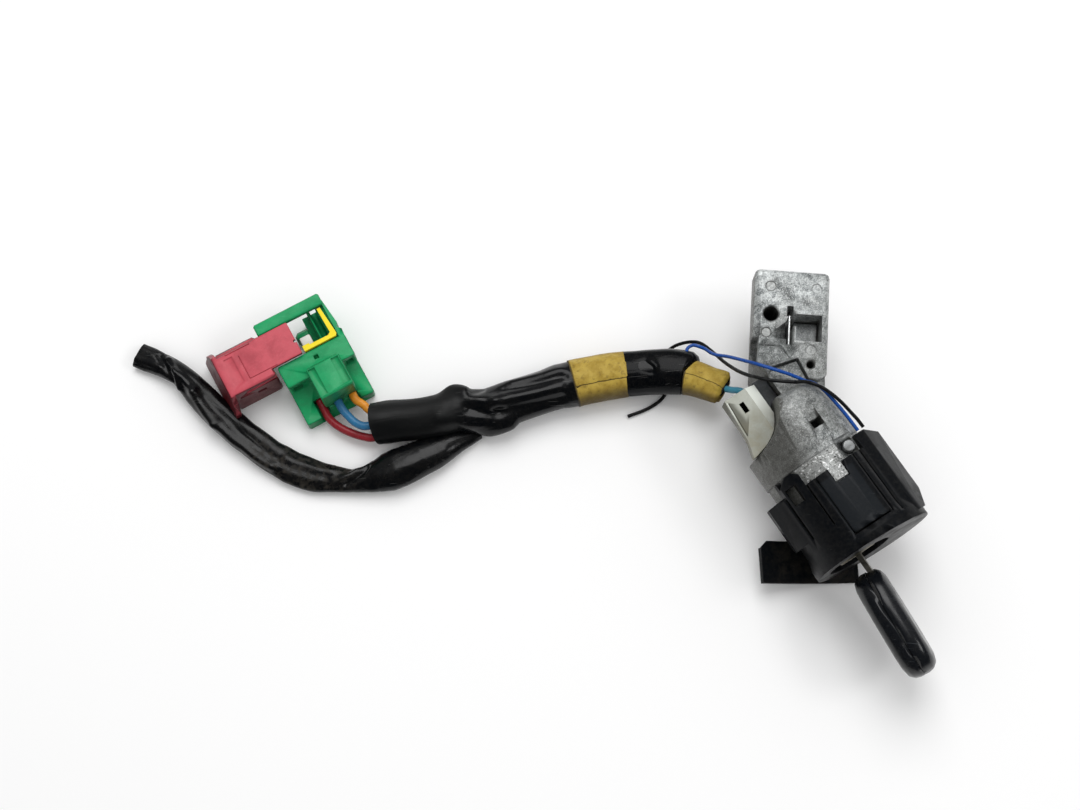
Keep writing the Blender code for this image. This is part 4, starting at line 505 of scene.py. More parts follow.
def cast_metal(
    name, dark, pale, film_and_shade, marks=(), holes=(), stains=(), rough_patch=None, film=0.55, pocket=(0, 0, 1)
):
    """Mottled casting: two greys in fine blotches, bright sparks, dark pits and a brown film.

    tone = 0.3 broad + 0.4 middle + 0.3 fine blotches, from dark to pale. Sides, and on the barrel
    the faces that turn left, are painted darker in the film's colour as shade. marks are the
    round prints of the pins that pushed the part out of its mould, holes are painted dark inside
    as shade, with painted light and dark bands for the turns of their threads, stains are soft
    dark smears, and rough_patch is a box (metres) where the cast skin was left coarse. Round the
    point pocket the painted side shade is weaker.
    """
    tree, shader, place = new_finish(name, Metallic=0.4)
    x, y, z = split(tree, place)
    faces_x, _, faces_z = facing(tree)
    skin = use(tree, cast_skin, place, Scale=1150.0)
    middle = patches(tree, place, 420.0, 0.42, 0.58)
    fine = patches(tree, place, 1500.0, 0.4, 0.6)
    tone = more(tree, times(tree, middle, 0.4), patches(tree, place, 110.0, 0.4, 0.62), 0.3)
    colour = blend(tree, more(tree, tone, fine, 0.3), dark, pale)
    # Painted shade: faces that turn away from up are darkened towards the film colour, less round the point
    # pocket, and on the barrel the faces that turn left are darkened too.
    side = times(tree, ramp(tree, faces_z, 0.8, 0.0), 0.8)
    from_pocket = vector_math(tree, "DISTANCE", place, pocket)
    side = times(tree, side, ramp(tree, from_pocket, 0.0125, 0.014, 0.3, 1.0))
    left_side_shade = times(tree, ramp(tree, y, 0.06, 0.045), ramp(tree, faces_x, 0.3, -0.6))
    side = math_node(tree, "MAXIMUM", side, times(tree, left_side_shade, 0.85))
    brown = times(tree, patches(tree, place, 60.0, 0.48, 0.68), film)
    colour = blend(tree, math_node(tree, "MAXIMUM", brown, side), colour, film_and_shade)
    on_barrel = times(tree, ramp(tree, y, 0.076, 0.050), ramp(tree, y, 0.010, 0.024, 0.15, 0.45))
    colour = blend(tree, on_barrel, colour, srgb(100, 100, 96))
    lines = use(tree, fine_scratches, place, Turn=(0.3, 0.0, 0.9), Scale=130.0, Rarity=0.68)
    colour = tint(tree, colour, lines["Mask"], 0.45, srgb(58, 58, 54))
    for centre, radius, strength in stains:
        away = vector_math(tree, "DISTANCE", place, centre)
        smear = ramp(tree, away, radius, 0.6 * radius, 0.0, strength)
        colour = tint(tree, colour, more(tree, 1.0, middle, -0.4), smear, srgb(92, 96, 95))
    sparks = times(tree, skin["Sparks"], more(tree, 0.45, side, -0.4))
    pits = times(tree, skin["Pits"], 0.5)
    if rough_patch is not None:
        near = times(tree, zone(tree, x, *rough_patch[0]), zone(tree, y, *rough_patch[1]))
        near = times(tree, near, ramp(tree, z, 0.034, 0.038))
        coarse = use(tree, cast_skin, place, Scale=560.0)
        colour = tint(tree, colour, near, 0.6, srgb(176, 178, 176))
        colour = tint(tree, colour, near, ramp(tree, coarse["Height"], 0.5, 0.3), srgb(98, 98, 94))
        sparks = math_node(tree, "MAXIMUM", sparks, times(tree, near, coarse["Sparks"]))
        pits = math_node(tree, "MAXIMUM", pits, times(tree, near, coarse["Pits"]))
    colour = blend(tree, sparks, colour, srgb(240, 241, 240))
    colour = blend(tree, pits, colour, srgb(40, 39, 36))
    for centre, radius, strength in marks:
        mark = use(tree, round_mark, place, Centre=centre, Radius=radius)
        colour = tint(tree, colour, mark["Disc"], 0.45 * strength, srgb(204, 206, 204))
        colour = tint(tree, colour, mark["Ring"], 0.75 * strength, srgb(58, 58, 56))
    edges = use(tree, rubbed_edges, place, Radius=0.0006, Scale=700.0, Amount=0.75)
    colour = blend(tree, edges["Mask"], colour, srgb(226, 228, 228))
    # Painted shade: the holes are painted dark inside, with painted light and dark bands for the turns of
    # their threads.
    turns = math_node(tree, "SINE", times(tree, z, THREAD_TURNS))
    hole_shade_tone = blend(tree, ramp(tree, turns, 0.2, 0.9), srgb(26, 25, 23), srgb(104, 104, 100))
    for centre, radius in holes:
        inside = use(tree, round_mark, place, Centre=centre, Radius=radius)["Disc"]
        inside = times(tree, inside, ramp(tree, z, 0.0417, 0.0408))
        colour = tint(tree, colour, inside, 0.95, hole_shade_tone)
    wire_up(tree, shader, Base_Color=colour, Roughness=ramp(tree, fine, 0.0, 1.0, 0.5, 0.34))
    relief(tree, shader, skin["Height"], 0.00018, 0.85, edges["Normal"])


print("casting finish ready")


# %% Cast finishes
BLOCK_AT, BLOCK_TURN, BLOCK_TOP = (34.85, 105.35), math.radians(-37.5), 42.0


def on_block(along, up):
    """A place on the bracket block's top in metres, from its own measures in mm."""
    x = BLOCK_AT[0] + along * math.cos(BLOCK_TURN) - up * math.sin(BLOCK_TURN)
    y = BLOCK_AT[1] + along * math.sin(BLOCK_TURN) + up * math.cos(BLOCK_TURN)
    return tuple(float(v) for v in in_lock((x, y, BLOCK_TOP)))


EJECTOR_MARKS = [
    (on_block(-10.1, 15.4), 0.0024, 0.9),
    (on_block(-11.4, -7.3), 0.0022, 1.0),
    (on_block(9.5, -14.4), 0.0024, 0.5),
    (on_block(11.3, 15.6), 0.0024, 0.35),
]
cast_metal(
    "cast_housing",
    srgb(78, 84, 86),
    srgb(226, 230, 229),
    srgb(62, 60, 54),
    marks=EJECTOR_MARKS,
    holes=[(on_block(-9.5, 2.0), 0.0037), (on_block(9.5, -21.4), 0.0018)],
    stains=[((0.0105, 0.0608, 0.0400), 0.0115, 0.75), ((0.0125, 0.0520, 0.0400), 0.0090, 0.6)],
    rough_patch=((-0.0185, 0.0045), (-0.0075, 0.0085)),
    pocket=on_block(4.0, -3.0),
)
cast_metal("cast_inner", srgb(84, 86, 86), srgb(140, 143, 142), srgb(52, 50, 44))
cast_metal("cast_bolt", srgb(132, 136, 138), srgb(190, 194, 195), srgb(86, 86, 82), film=0.3)
print("cast finishes:", list(finishes))

# %% [markdown]
# ## Bare steel, brass and copper
# The guide plate, the pin, the springs, the key's blade, the plug and the contacts are drawn
# or stamped, which leaves fine lines along one way. Noise squeezed along that way gives the
# lines, and here a full metal share is right, because these pieces are smooth and small.

# %% Drawn metals
def drawn_metal(name, colour, shadow, roughness, stretch=(1.0, 14.0, 1.0)):
    """Drawn or stamped metal: fine lines along one way and a few dark blotches."""
    tree, shader, place = new_finish(name, Metallic=1.0)
    grain = noise(tree, vector_math(tree, "MULTIPLY", place, stretch), 900.0, 3.0)
    edges = use(tree, rubbed_edges, place, Radius=0.0003, Scale=900.0, Amount=0.4)
    tone = tint(tree, colour, patches(tree, place, 300.0, 0.5, 0.7), 0.7, shadow)
    dull = ramp(tree, grain, 0.3, 0.7, roughness - 0.08, roughness + 0.1)
    wire_up(tree, shader, Base_Color=tone, Roughness=dull)
    relief(tree, shader, grain, 0.00002, 0.6, edges["Normal"])


drawn_metal("bright_steel_bar", srgb(206, 208, 208), srgb(120, 120, 118), 0.3)
drawn_metal("dull_pin", srgb(150, 152, 152), srgb(84, 84, 82), 0.42)
drawn_metal("spring_wire", srgb(170, 172, 174), srgb(96, 94, 90), 0.32)
# The plug's brass is painted darker than bare brass, as shade deep inside the shroud's mouth.
drawn_metal("brass_in_painted_shade", srgb(128, 122, 104), srgb(76, 68, 52), 0.38)
drawn_metal("stamped_brass", srgb(205, 178, 112), srgb(128, 98, 52), 0.3)
drawn_metal("copper_contact", srgb(206, 150, 110), srgb(120, 76, 48), 0.3)
drawn_metal("copper_winding", srgb(176, 96, 52), srgb(96, 44, 22), 0.36, (14.0, 14.0, 1.0))
drawn_metal("key_plating", srgb(132, 129, 120), srgb(70, 65, 56), 0.4)
print("finishes:", len(finishes))

# %% [markdown]
# ## Moulded plastics
# The shroud, the key's head, the contact block, the connector and the wires' skins are all
# plastic that came out of a mould: one colour, a little uneven, paler where it is rubbed or
# scratched, and deeper where grime stays. Their sides are painted darker as shade. So one
# function makes them all, and each piece only says its three colours, how dull it is, and
# what sets it apart.

# %% Moulded plastic
def moulded(
    name, colour, worn, grime_and_shade, roughness, level,
    dust=0.1, grain=0.00002, edge=0.0004, film=0.3, scuff=0.4, speck=0.12, wear=0.6, side=0.35,
):
    """Moulded plastic: an uneven skin, rubbed edges, grime in blotches, dust and fine scratches.

    Sides are tinted towards the grime colour by the share side, as painted shade: they face
    away from the light, and the same colour also serves the grime blotches.
    """
    tree, shader, place = new_finish(name, Specular_IOR_Level=level)
    broad = patches(tree, place, 110.0, 0.44, 0.68)
    edges = use(tree, rubbed_edges, place, Radius=edge, Scale=620.0, Amount=wear)
    powder = use(tree, settled_dust, place, Scale=620.0, Amount=dust)["Mask"]
    marks = use(tree, fine_scratches, place, Turn=(0.0, 0.0, 0.7), Scale=90.0, Rarity=0.7)
    tone = tint(tree, colour, broad, film, grime_and_shade)
    # Painted shade: faces that turn away from up are darkened towards the grime colour.
    tone = tint(tree, tone, ramp(tree, facing(tree)[2], 0.85, 0.2), side, grime_and_shade)
    tone = tint(tree, tone, patches(tree, place, 1100.0, 0.5, 0.72), speck, worn)
    tone = blend(tree, powder, tone, srgb(128, 122, 110))
    tone = tint(tree, tone, marks["Mask"], scuff, worn)
    tone = blend(tree, edges["Mask"], tone, worn)
    dull = ramp(tree, broad, 0.0, 1.0, roughness - 0.05, roughness + 0.09)
    wire_up(tree, shader, Base_Color=tone, Roughness=more(tree, dull, powder, 0.4))
    relief(tree, shader, noise(tree, place, 2600.0, 4.0, Roughness=0.6), grain, 0.8, edges["Normal"])
    return tree, shader, place, tone


print("plastic finish ready")


# %% The pale shell and its dark tray
tree, shader, place, tone = moulded(
    "pale_cover", srgb(170, 173, 163), srgb(214, 218, 212), srgb(146, 144, 128), 0.42, 0.35,
    dust=0.04, film=0.45,
)
faces_x = facing(tree)[0]
# Painted light and shade: facets that face right are painted paler as if lit, and facets that face left are
# painted darker as shade.
tone = blend(tree, ramp(tree, faces_x, 0.2, 0.45, 0.0, 0.9), tone, srgb(238, 242, 234))
tone = blend(tree, ramp(tree, faces_x, -0.02, -0.2, 0.0, 0.9), tone, srgb(96, 96, 86))
low_end = ramp(tree, split(tree, place)[1], 0.046, 0.028)
yellowed = times(tree, low_end, patches(tree, place, 190.0, 0.4, 0.62))
tone = tint(tree, tone, low_end, 0.45, srgb(112, 110, 96))
tone = tint(tree, tone, yellowed, 0.35, srgb(132, 120, 88))
wire_up(tree, shader, Base_Color=tone)
moulded("dark_base", srgb(52, 56, 60), srgb(110, 114, 118), srgb(40, 40, 38), 0.5, 0.25, film=0.5)
print("pale shell: its right facets are paler, its left ones and its low end darker")

# %% The black shroud
SHROUD_FLAP_X, SHROUD_FLAP_Y = (-0.0145, 0.0035), (-0.0290, -0.0030)
tree, shader, place, tone = moulded(
    "black_shroud_skin", srgb(9, 12, 16), srgb(58, 60, 60), srgb(16, 15, 14), 0.38, 0.11,
    dust=0.03, grain=0.00003, speck=0.05, wear=0.35,
)
x, y, z = split(tree, place)
# The flap's top is tinted greyer: partly its own duller skin, partly a painted sheen where it faces up.
flap = times(tree, zone(tree, x, *SHROUD_FLAP_X), zone(tree, y, *SHROUD_FLAP_Y))
flap = times(tree, flap, ramp(tree, z, 0.050, 0.053))
tone = tint(tree, tone, flap, 0.5, srgb(36, 40, 44))
worn_wing = times(tree, ramp(tree, z, 0.012, 0.009), patches(tree, place, 210.0, 0.4, 0.66))
tone = tint(tree, tone, worn_wing, 0.5, srgb(52, 48, 42))
wire_up(tree, shader, Base_Color=tone)
print("shroud: a greyer flap on top and a worn low wing")

# %% Key, connector and small plastics
moulded("black_moulding", srgb(15, 16, 17), srgb(64, 66, 68), srgb(27, 25, 22), 0.42, 0.14)
# The key's sides are painted almost black as shade, by a large share for the sides.
moulded(
    "key_gloss", srgb(12, 15, 20), srgb(96, 100, 104), srgb(6, 7, 8), 0.26, 0.4,
    dust=0.02, grain=0.00001, scuff=0.25, speck=0.03, wear=0.2, film=0.2, side=0.9,
)
moulded("chip_resin", srgb(34, 34, 36), srgb(80, 80, 80), srgb(30, 30, 30), 0.22, 0.4)
moulded(
    "green_body", srgb(18, 158, 96), srgb(84, 196, 142), srgb(2, 84, 46), 0.42, 0.28,
    dust=0.04, side=0.65,
)
# The lever's sides and its end wall are painted deep red as shade.
moulded(
    "red_lever", srgb(198, 82, 94), srgb(222, 124, 134), srgb(68, 3, 12), 0.4, 0.22,
    dust=0.03, side=0.95, film=0.25, scuff=0.15,
)
moulded(
    "yellow_clip", srgb(250, 226, 20), srgb(255, 242, 120), srgb(222, 184, 20), 0.4, 0.25,
    dust=0.02, film=0.2,
)
moulded("white_guard", srgb(226, 226, 222), srgb(250, 250, 248), srgb(176, 174, 166), 0.42, 0.3, dust=0.05)
print("finishes:", len(finishes))

# %% Wire insulation
for colour, plain, worn, grime_and_shade, dull, level, side in (
    ("red", srgb(150, 34, 44), srgb(200, 100, 104), srgb(92, 16, 26), 0.3, 0.36, 0.5),
    ("blue", srgb(44, 112, 156), srgb(122, 176, 206), srgb(24, 70, 108), 0.3, 0.36, 0.5),
    ("orange", srgb(222, 142, 34), srgb(246, 190, 90), srgb(150, 84, 16), 0.32, 0.34, 0.5),
    ("teal", srgb(60, 132, 156), srgb(120, 176, 192), srgb(36, 84, 104), 0.34, 0.34, 0.35),
    ("black", srgb(14, 15, 17), srgb(66, 68, 70), srgb(14, 14, 14), 0.34, 0.2, 0.35),
):
    moulded(colour + "_insulation", plain, worn, grime_and_shade, dull, level, dust=0.03, side=side)
moulded(
    "dark_blue_insulation", srgb(20, 74, 156), srgb(60, 104, 160), srgb(8, 30, 70), 0.3, 0.3,
    dust=0.02, side=0.5,
)
print("finishes:", len(finishes))

# %% [markdown]
# ## Welded skins for the rigid pieces
# The solid model arrives as loose triangles, which look faceted where a surface is round. A
# copy with its points welded can be shaded smoothly, and keeps its sharp corners where the
# faces meet at more than 30 degrees. Normals are weighted by area, so that a large flat facet
# stays flat up to its rounded edge. The shape itself stays as it is. The worn corners are
# shaded by the finish, so no rounding has to be cut into thin triangles.

# %% Which finish each rigid piece gets
RIGID = {
    "lock": {
        "lock_housing": "cast_housing",
        "retaining_pin": "dull_pin",
        "guide_plate": "bright_steel_bar",
        "bolt_cover": "bright_steel_bar",
        "bolt_spring": "spring_wire",
        "cylinder_sleeve": "cast_inner",
        "return_spring": "spring_wire",
        "switch_housing": "pale_cover",
        "switch_base": "dark_base",
        "shroud": "black_shroud_skin",
        "antenna_bobbin": "black_moulding",
        "antenna_coil": "copper_winding",
        "contact_1": "copper_contact",
        "contact_2": "copper_contact",
        "contact_3": "copper_contact",
        "connector_housing": "green_body",
        "terminal_lock": "yellow_clip",
        "terminal_guard": "white_guard",
    },
    "cylinder": {
        "plug": "brass_in_painted_shade",
        "drive_shaft": "bright_steel_bar",
        "bolt_cam": "cast_inner",
        "switch_rotor": "black_moulding",
        **{f"wafer_{number}": "stamped_brass" for number in range(1, 9)},
    },
    "bolt": {"lock_bolt": "cast_bolt"},
    "key": {
        "key_blade": "key_plating",
        "key_head_left": "key_gloss",
        "key_head_right": "key_gloss",
        "key_chip": "chip_resin",
    },
    "slider": {"connector_slider": "red_lever"},
}
print("rigid pieces:", sum(len(row) for row in RIGID.values()))


# %% Welded skins
def welded(node, body, finish):
    """A welded copy of a node, smooth where faces meet at less than 30 degrees, in its place."""
    work = bmesh.new()
    work.from_mesh(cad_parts[node].data)
    bmesh.ops.remove_doubles(work, verts=work.verts, dist=2e-6)
    bmesh.ops.dissolve_degenerate(work, edges=work.edges, dist=1e-7)
    mesh = bpy.data.meshes.new(node + "_skin")
    work.to_mesh(mesh)
    work.free()
    mesh.shade_smooth()
    mesh.set_sharp_from_angle(angle=math.radians(30.0))
    mesh.materials.append(finishes[finish])
    piece = bpy.data.objects.new(node + "_skin", mesh)
    bpy.context.scene.collection.objects.link(piece)
    even = piece.modifiers.new("even_normals", "WEIGHTED_NORMAL")
    even.keep_sharp = True
    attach(piece, body)
    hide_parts(node)


for body, row in RIGID.items():
    for node, finish in row.items():
        welded(node, body, finish)
    print("welded skins on", body + ":", len(row))

# %% [markdown]
# ## The harness
# The loom is a bundle of wires in a vinyl sleeve. The sleeve starts as an open, dusty mouth at
# the connector, carries a bump and a slack lobe where a second, empty sleeve leaves below it,
# and goes on under a band of mustard tape to the contact block. The vinyl is thin and was hot
# when it was fitted, so it shows the wires inside as long soft ridges. It is a tube along a
# path whose skin is pushed out by ridges, each a line on the unrolled surface.

# %% Ridges on a tube
def ridge_field(s, angle, radius, ridges):
    """Sum of soft ridges: height * exp(-(distance / width)^2).

    The distance is measured on the unrolled tube, with s along it and radius * angle round
    it, to the line from (s0, angle0) to (s1, angle1) of the ridge.
    """
    field = np.zeros(np.broadcast(s, angle).shape)
    for s0, a0, s1, a1, height, width in ridges:
        middle = 0.5 * (a0 + a1)
        near = (angle - middle + 180.0) % 360.0 - 180.0
        x = s - s0
        y = np.radians(near + middle - a0) * radius
        run = np.array([s1 - s0, np.radians(a1 - a0) * radius])
        length = max(float(run @ run), 1e-9)
        share = np.clip((x * run[0] + y * run[1]) / length, 0.0, 1.0)
        gap = np.hypot(x - share * run[0], y - share * run[1])
        field = field + height * np.exp(-((gap / width) ** 2))
    return field


def ripple(s, angle, seed, height, wave, turns=3):
    """Gentle unevenness: a sum of sines along and round the tube with seeded phases."""
    draw = np.random.default_rng(seed)
    field = np.zeros(np.broadcast(s, angle).shape)
    for _ in range(9):
        along = 2 * np.pi * s / (wave * draw.uniform(0.5, 1.8))
        around = draw.integers(0, turns + 1) * np.radians(angle)
        field = field + np.sin(along + around + draw.uniform(0, 6.28))
    return height * field / 3.0


print("a ridge 1 mm high is", ridge_field(0.0, 0.0, 10.0, [(0, 0, 5, 0, 1.0, 2.0)]), "mm at its middle line")


# %% A tube with an open mouth
MAP_ROUND = 60.0


def tube_skin(path, half_width, half_height, ring, lift, wall, mouth, lip=0.0):
    """A tube of the given half width and height along a path, in mm, with a lifted skin.

    A point is path + right * x + up * y, where x = (w + lift) cos a and y = (h + lift) sin a.
    mouth gives how deep each end stands open: there the skin turns in over the wall and runs
    back inside. lip pulls the top of the first end out and pushes its underside back, by
    lip * sin(a) * exp(-(s / 5)^2). Comes back as the grid and its map in metres, in which once
    round is always MAP_ROUND, about the girth of the loom.
    """
    along, right, up = path_frame(path)
    s = np.concatenate([[0.0], np.cumsum(np.linalg.norm(np.diff(path, axis=0), axis=1))])[:, None]
    angle = np.linspace(0.0, 360.0, ring, endpoint=False)[None, :]
    a = np.radians(angle)
    w = np.broadcast_to(half_width, (len(path),))[:, None]
    h = np.broadcast_to(half_height, (len(path),))[:, None]
    raised = lift(s, angle)
    pulled = (lip * np.sin(a) * np.exp(-((s / 5.0) ** 2)))[..., None]

    def layer(inset):
        x = ((w + raised - inset) * np.cos(a))[..., None]
        y = ((h + raised - inset) * np.sin(a))[..., None]
        skin = path[:, None, :] + right[:, None, :] * x + up[:, None, :] * y
        return skin - along[:, None, :] * pulled

    outer, inner = layer(0.0), layer(wall)
    u = np.broadcast_to(s, outer.shape[:2])
    rows, marks = [outer], [u]
    if mouth[0] > 0:
        depth = max(2, int(np.searchsorted(s[:, 0], mouth[0])))
        rows.insert(0, inner[:depth][::-1])
        marks.insert(0, u[:depth][::-1])
    if mouth[1] > 0:
        depth = max(2, int(np.searchsorted(s[-1, 0] - s[::-1, 0], mouth[1])))
        rows.append(inner[-depth:][::-1])
        marks.append(u[-depth:][::-1])
    marks = np.concatenate(marks, axis=0)
    around = np.broadcast_to(angle / 360.0 * MAP_ROUND, marks.shape)
    return np.concatenate(rows, axis=0), (marks * MM, around * MM)


def finished_piece(name, surface, finish, slot, *nodes):
    """Make a grid and its map a piece, with its finish, and hide the nodes that it stands for. slot is not
    used.
    """
    piece = grid_piece(name, *surface)
    piece.data.materials.append(finishes[finish])
    if nodes:
        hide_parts(*nodes)
    return piece


print("tube helpers ready")

# %% [markdown]
# ## Where the harness lies
# Each route is a row of points along the middle of a sleeve or wire, in mm in the lock's own
# frame, as the photograph shows it from above. The heights follow from what each one rests
# on: the loom lies on the table and rises to the contact block, and the thin wires climb over
# the casting. The routes are the solid model's own, so that skins and solids lie together.

# %% Routes
STEP = 0.5
TRUNK_ROUTE = [
    (-151.0, 176.9, 9.2), (-142.6, 173.3, 9.2), (-133.7, 168.6, 9.2), (-124.2, 164.8, 9.2),
    (-115.7, 162.0, 9.2), (-109.0, 157.4, 9.2), (-101.6, 153.4, 9.2), (-93.5, 150.8, 9.2),
    (-87.5, 148.7, 9.2), (-77.8, 145.9, 9.3), (-69.9, 143.8, 9.6), (-61.4, 141.2, 10.0),
    (-55.0, 138.8, 10.3), (-47.5, 135.6, 10.6), (-39.4, 131.6, 10.9), (-32.3, 127.6, 11.2),
    (-26.1, 123.8, 11.6), (-20.0, 119.6, 12.2), (-14.2, 114.8, 13.2), (-10.2, 109.0, 15.0),
    (-7.2, 103.4, 17.4), (-4.6, 98.2, 20.2),
]
SPARE_ROUTE = [
    (-111.6, 146.6, 4.0), (-123.3, 149.4, 4.0), (-140.3, 150.7, 4.0), (-156.4, 152.2, 4.0),
    (-166.0, 154.8, 4.0), (-173.4, 158.7, 4.0), (-181.7, 165.3, 4.0), (-189.5, 172.7, 4.0),
    (-199.4, 187.8, 4.0), (-204.2, 197.4, 4.0), (-208.4, 206.9, 4.0), (-211.4, 216.9, 4.0),
    (-214.3, 226.4, 4.0), (-217.6, 243.6, 4.0), (-221.4, 257.1, 4.0), (-225.2, 264.4, 4.0),
    (-229.8, 270.6, 4.0),
]
BLACK_ROUTE = [
    (-47.0, 115.4, 1.1), (-37.4, 113.4, 1.1), (-29.7, 113.4, 1.1), (-25.0, 115.4, 1.1),
    (-20.6, 121.0, 1.1), (-17.6, 127.0, 1.4), (-14.6, 131.0, 3.0), (-9.1, 131.4, 6.0),
    (-2.7, 128.6, 9.0), (0.6, 124.0, 13.0), (1.6, 116.0, 18.0), (1.6, 107.5, 25.0),
    (1.9, 99.4, 34.0), (3.4, 93.4, 40.6), (5.6, 89.6, 43.0), (12.1, 83.5, 44.2),
    (18.9, 77.9, 45.6), (22.4, 72.6, 47.0), (26.6, 65.9, 46.0), (30.0, 58.0, 43.9),
    (31.4, 51.0, 43.6), (31.8, 45.2, 43.2),
]
BLUE_ROUTE = [
    (-9.6, 120.2, 18.2), (-8.6, 124.0, 17.2), (-4.6, 125.0, 16.6), (-1.0, 120.6, 17.6),
    (0.0, 114.6, 22.6), (3.2, 108.3, 30.0), (6.0, 101.4, 38.0), (9.0, 95.2, 43.4),
    (14.8, 87.4, 44.6), (19.4, 81.6, 43.9), (24.0, 73.6, 43.9), (26.6, 64.2, 44.0),
    (28.2, 54.0, 43.9), (28.6, 45.2, 43.4),
]
SWITCH_WIRE_ROUTE = [
    (-4.3, 97.5, 20.8), (-3.0, 95.4, 23.0), (-1.4, 93.4, 25.2), (0.0, 91.2, 26.0),
    (0.4, 88.6, 26.0), (0.4, 87.2, 26.0),
]
WIRE_ENDS = {
    "wire_red": [(-167.4, 187.0, 5.2), (-163.6, 180.2, 5.2), (-159.4, 175.0, 5.6), (-155.4, 172.0, 6.2)],
    "wire_blue": [(-160.9, 188.4, 9.8), (-159.6, 182.6, 10.2), (-157.2, 178.4, 10.6), (-153.3, 176.5, 10.6)],
    "wire_orange": [(-152.0, 188.6, 9.6), (-151.2, 186.4, 9.5), (-151.0, 184.9, 9.4)],
}
WIRE_HOLES = {"wire_red": (-5.0, 5.2), "wire_blue": (2.6, 9.8), "wire_orange": (10.4, 9.4)}
CONNECTOR_AT = (-162.2, 214.6)
CONNECTOR_TURN = math.radians(-4.0)
trunk = smooth_path(np.array(TRUNK_ROUTE) + LOCK_PLACE, STEP)
print("trunk length mm:", round(path_length(trunk), 1))

# %% [markdown]
# ## Black vinyl
# The sleeves are soft black vinyl, glossy where it was stretched over the wires and dull
# where it is dusty. Its look is in its long shallow folds, which lie along the sleeve and
# bend its highlights, so the folds are noise on the piece's own map, drawn out along it.

# %% Vinyl finishes
def vinyl(name, dust, matte_to=0.0, dirty=None, shine=0.28):
    """Satin vinyl: black, with long shallow folds, scuffs and brown dust on top.

    Up to matte_to metres from its start the skin is dusty and dull, and dirty names a stretch
    with dried dirt on it.
    """
    tree, shader, place = new_finish(name, Specular_IOR_Level=shine)
    chart = put(tree, "ShaderNodeTexCoord").outputs["UV"]
    along = split(tree, chart)[0]
    drawn = vector_math(tree, "MULTIPLY", chart, (45.0, 170.0, 1.0))
    powder = use(tree, settled_dust, place, Scale=420.0, Amount=dust)["Mask"]
    marks = use(tree, fine_scratches, place, Turn=(0.0, 0.0, 0.5), Scale=70.0, Rarity=0.7)
    broad = patches(tree, place, 80.0, 0.4, 0.65)
    tone = blend(tree, broad, srgb(3, 5, 8), srgb(9, 10, 12))
    tone = blend(tree, powder, tone, srgb(84, 76, 64))
    tone = tint(tree, tone, marks["Mask"], 0.3, srgb(110, 110, 108))
    tone = tint(tree, tone, patches(tree, place, 1300.0, 0.52, 0.75), 0.06, srgb(100, 96, 88))
    dull = more(tree, ramp(tree, broad, 0.0, 1.0, 0.18, 0.28), powder, 0.9)
    if matte_to > 0:
        matte = ramp(tree, along, matte_to + 0.006, matte_to - 0.004)
        tone = tint(tree, tone, matte, 0.6, srgb(9, 11, 11))
        dull = more(tree, dull, matte, 0.24)
    if dirty is not None:
        crust = patches(tree, place, 380.0, 0.46, 0.72)
        caked = times(tree, zone(tree, along, *dirty, 0.008), crust)
        tone = tint(tree, tone, caked, 0.3, srgb(84, 76, 64))
        dull = more(tree, dull, caked, 0.4)
    wire_up(tree, shader, Base_Color=tone, Roughness=dull)
    relief(tree, shader, noise(tree, drawn, 1.0, 4.0, Roughness=0.5, Distortion=0.5), 0.0005, 0.7)


vinyl("sleeve_vinyl", 0.03, matte_to=0.04, shine=0.24)
vinyl("spare_vinyl", 0.05, dirty=(0.066, 0.118))
vinyl("rear_vinyl", 0.03, shine=0.12)
print("finishes:", len(finishes))

# %% [markdown]
# ## Cloth tape
# Mustard cloth tape holds the loom together in two places. It is woven, stained, dark and
# frayed along its cut edges, and cracked where it was bent. The weave is two waves multiplied,
# one along the loom and one round it, so it follows every bend.

# %% Tape finishes
# In radians per metre, which is a thread every 0.7 mm.
WEAVE = 9000.0


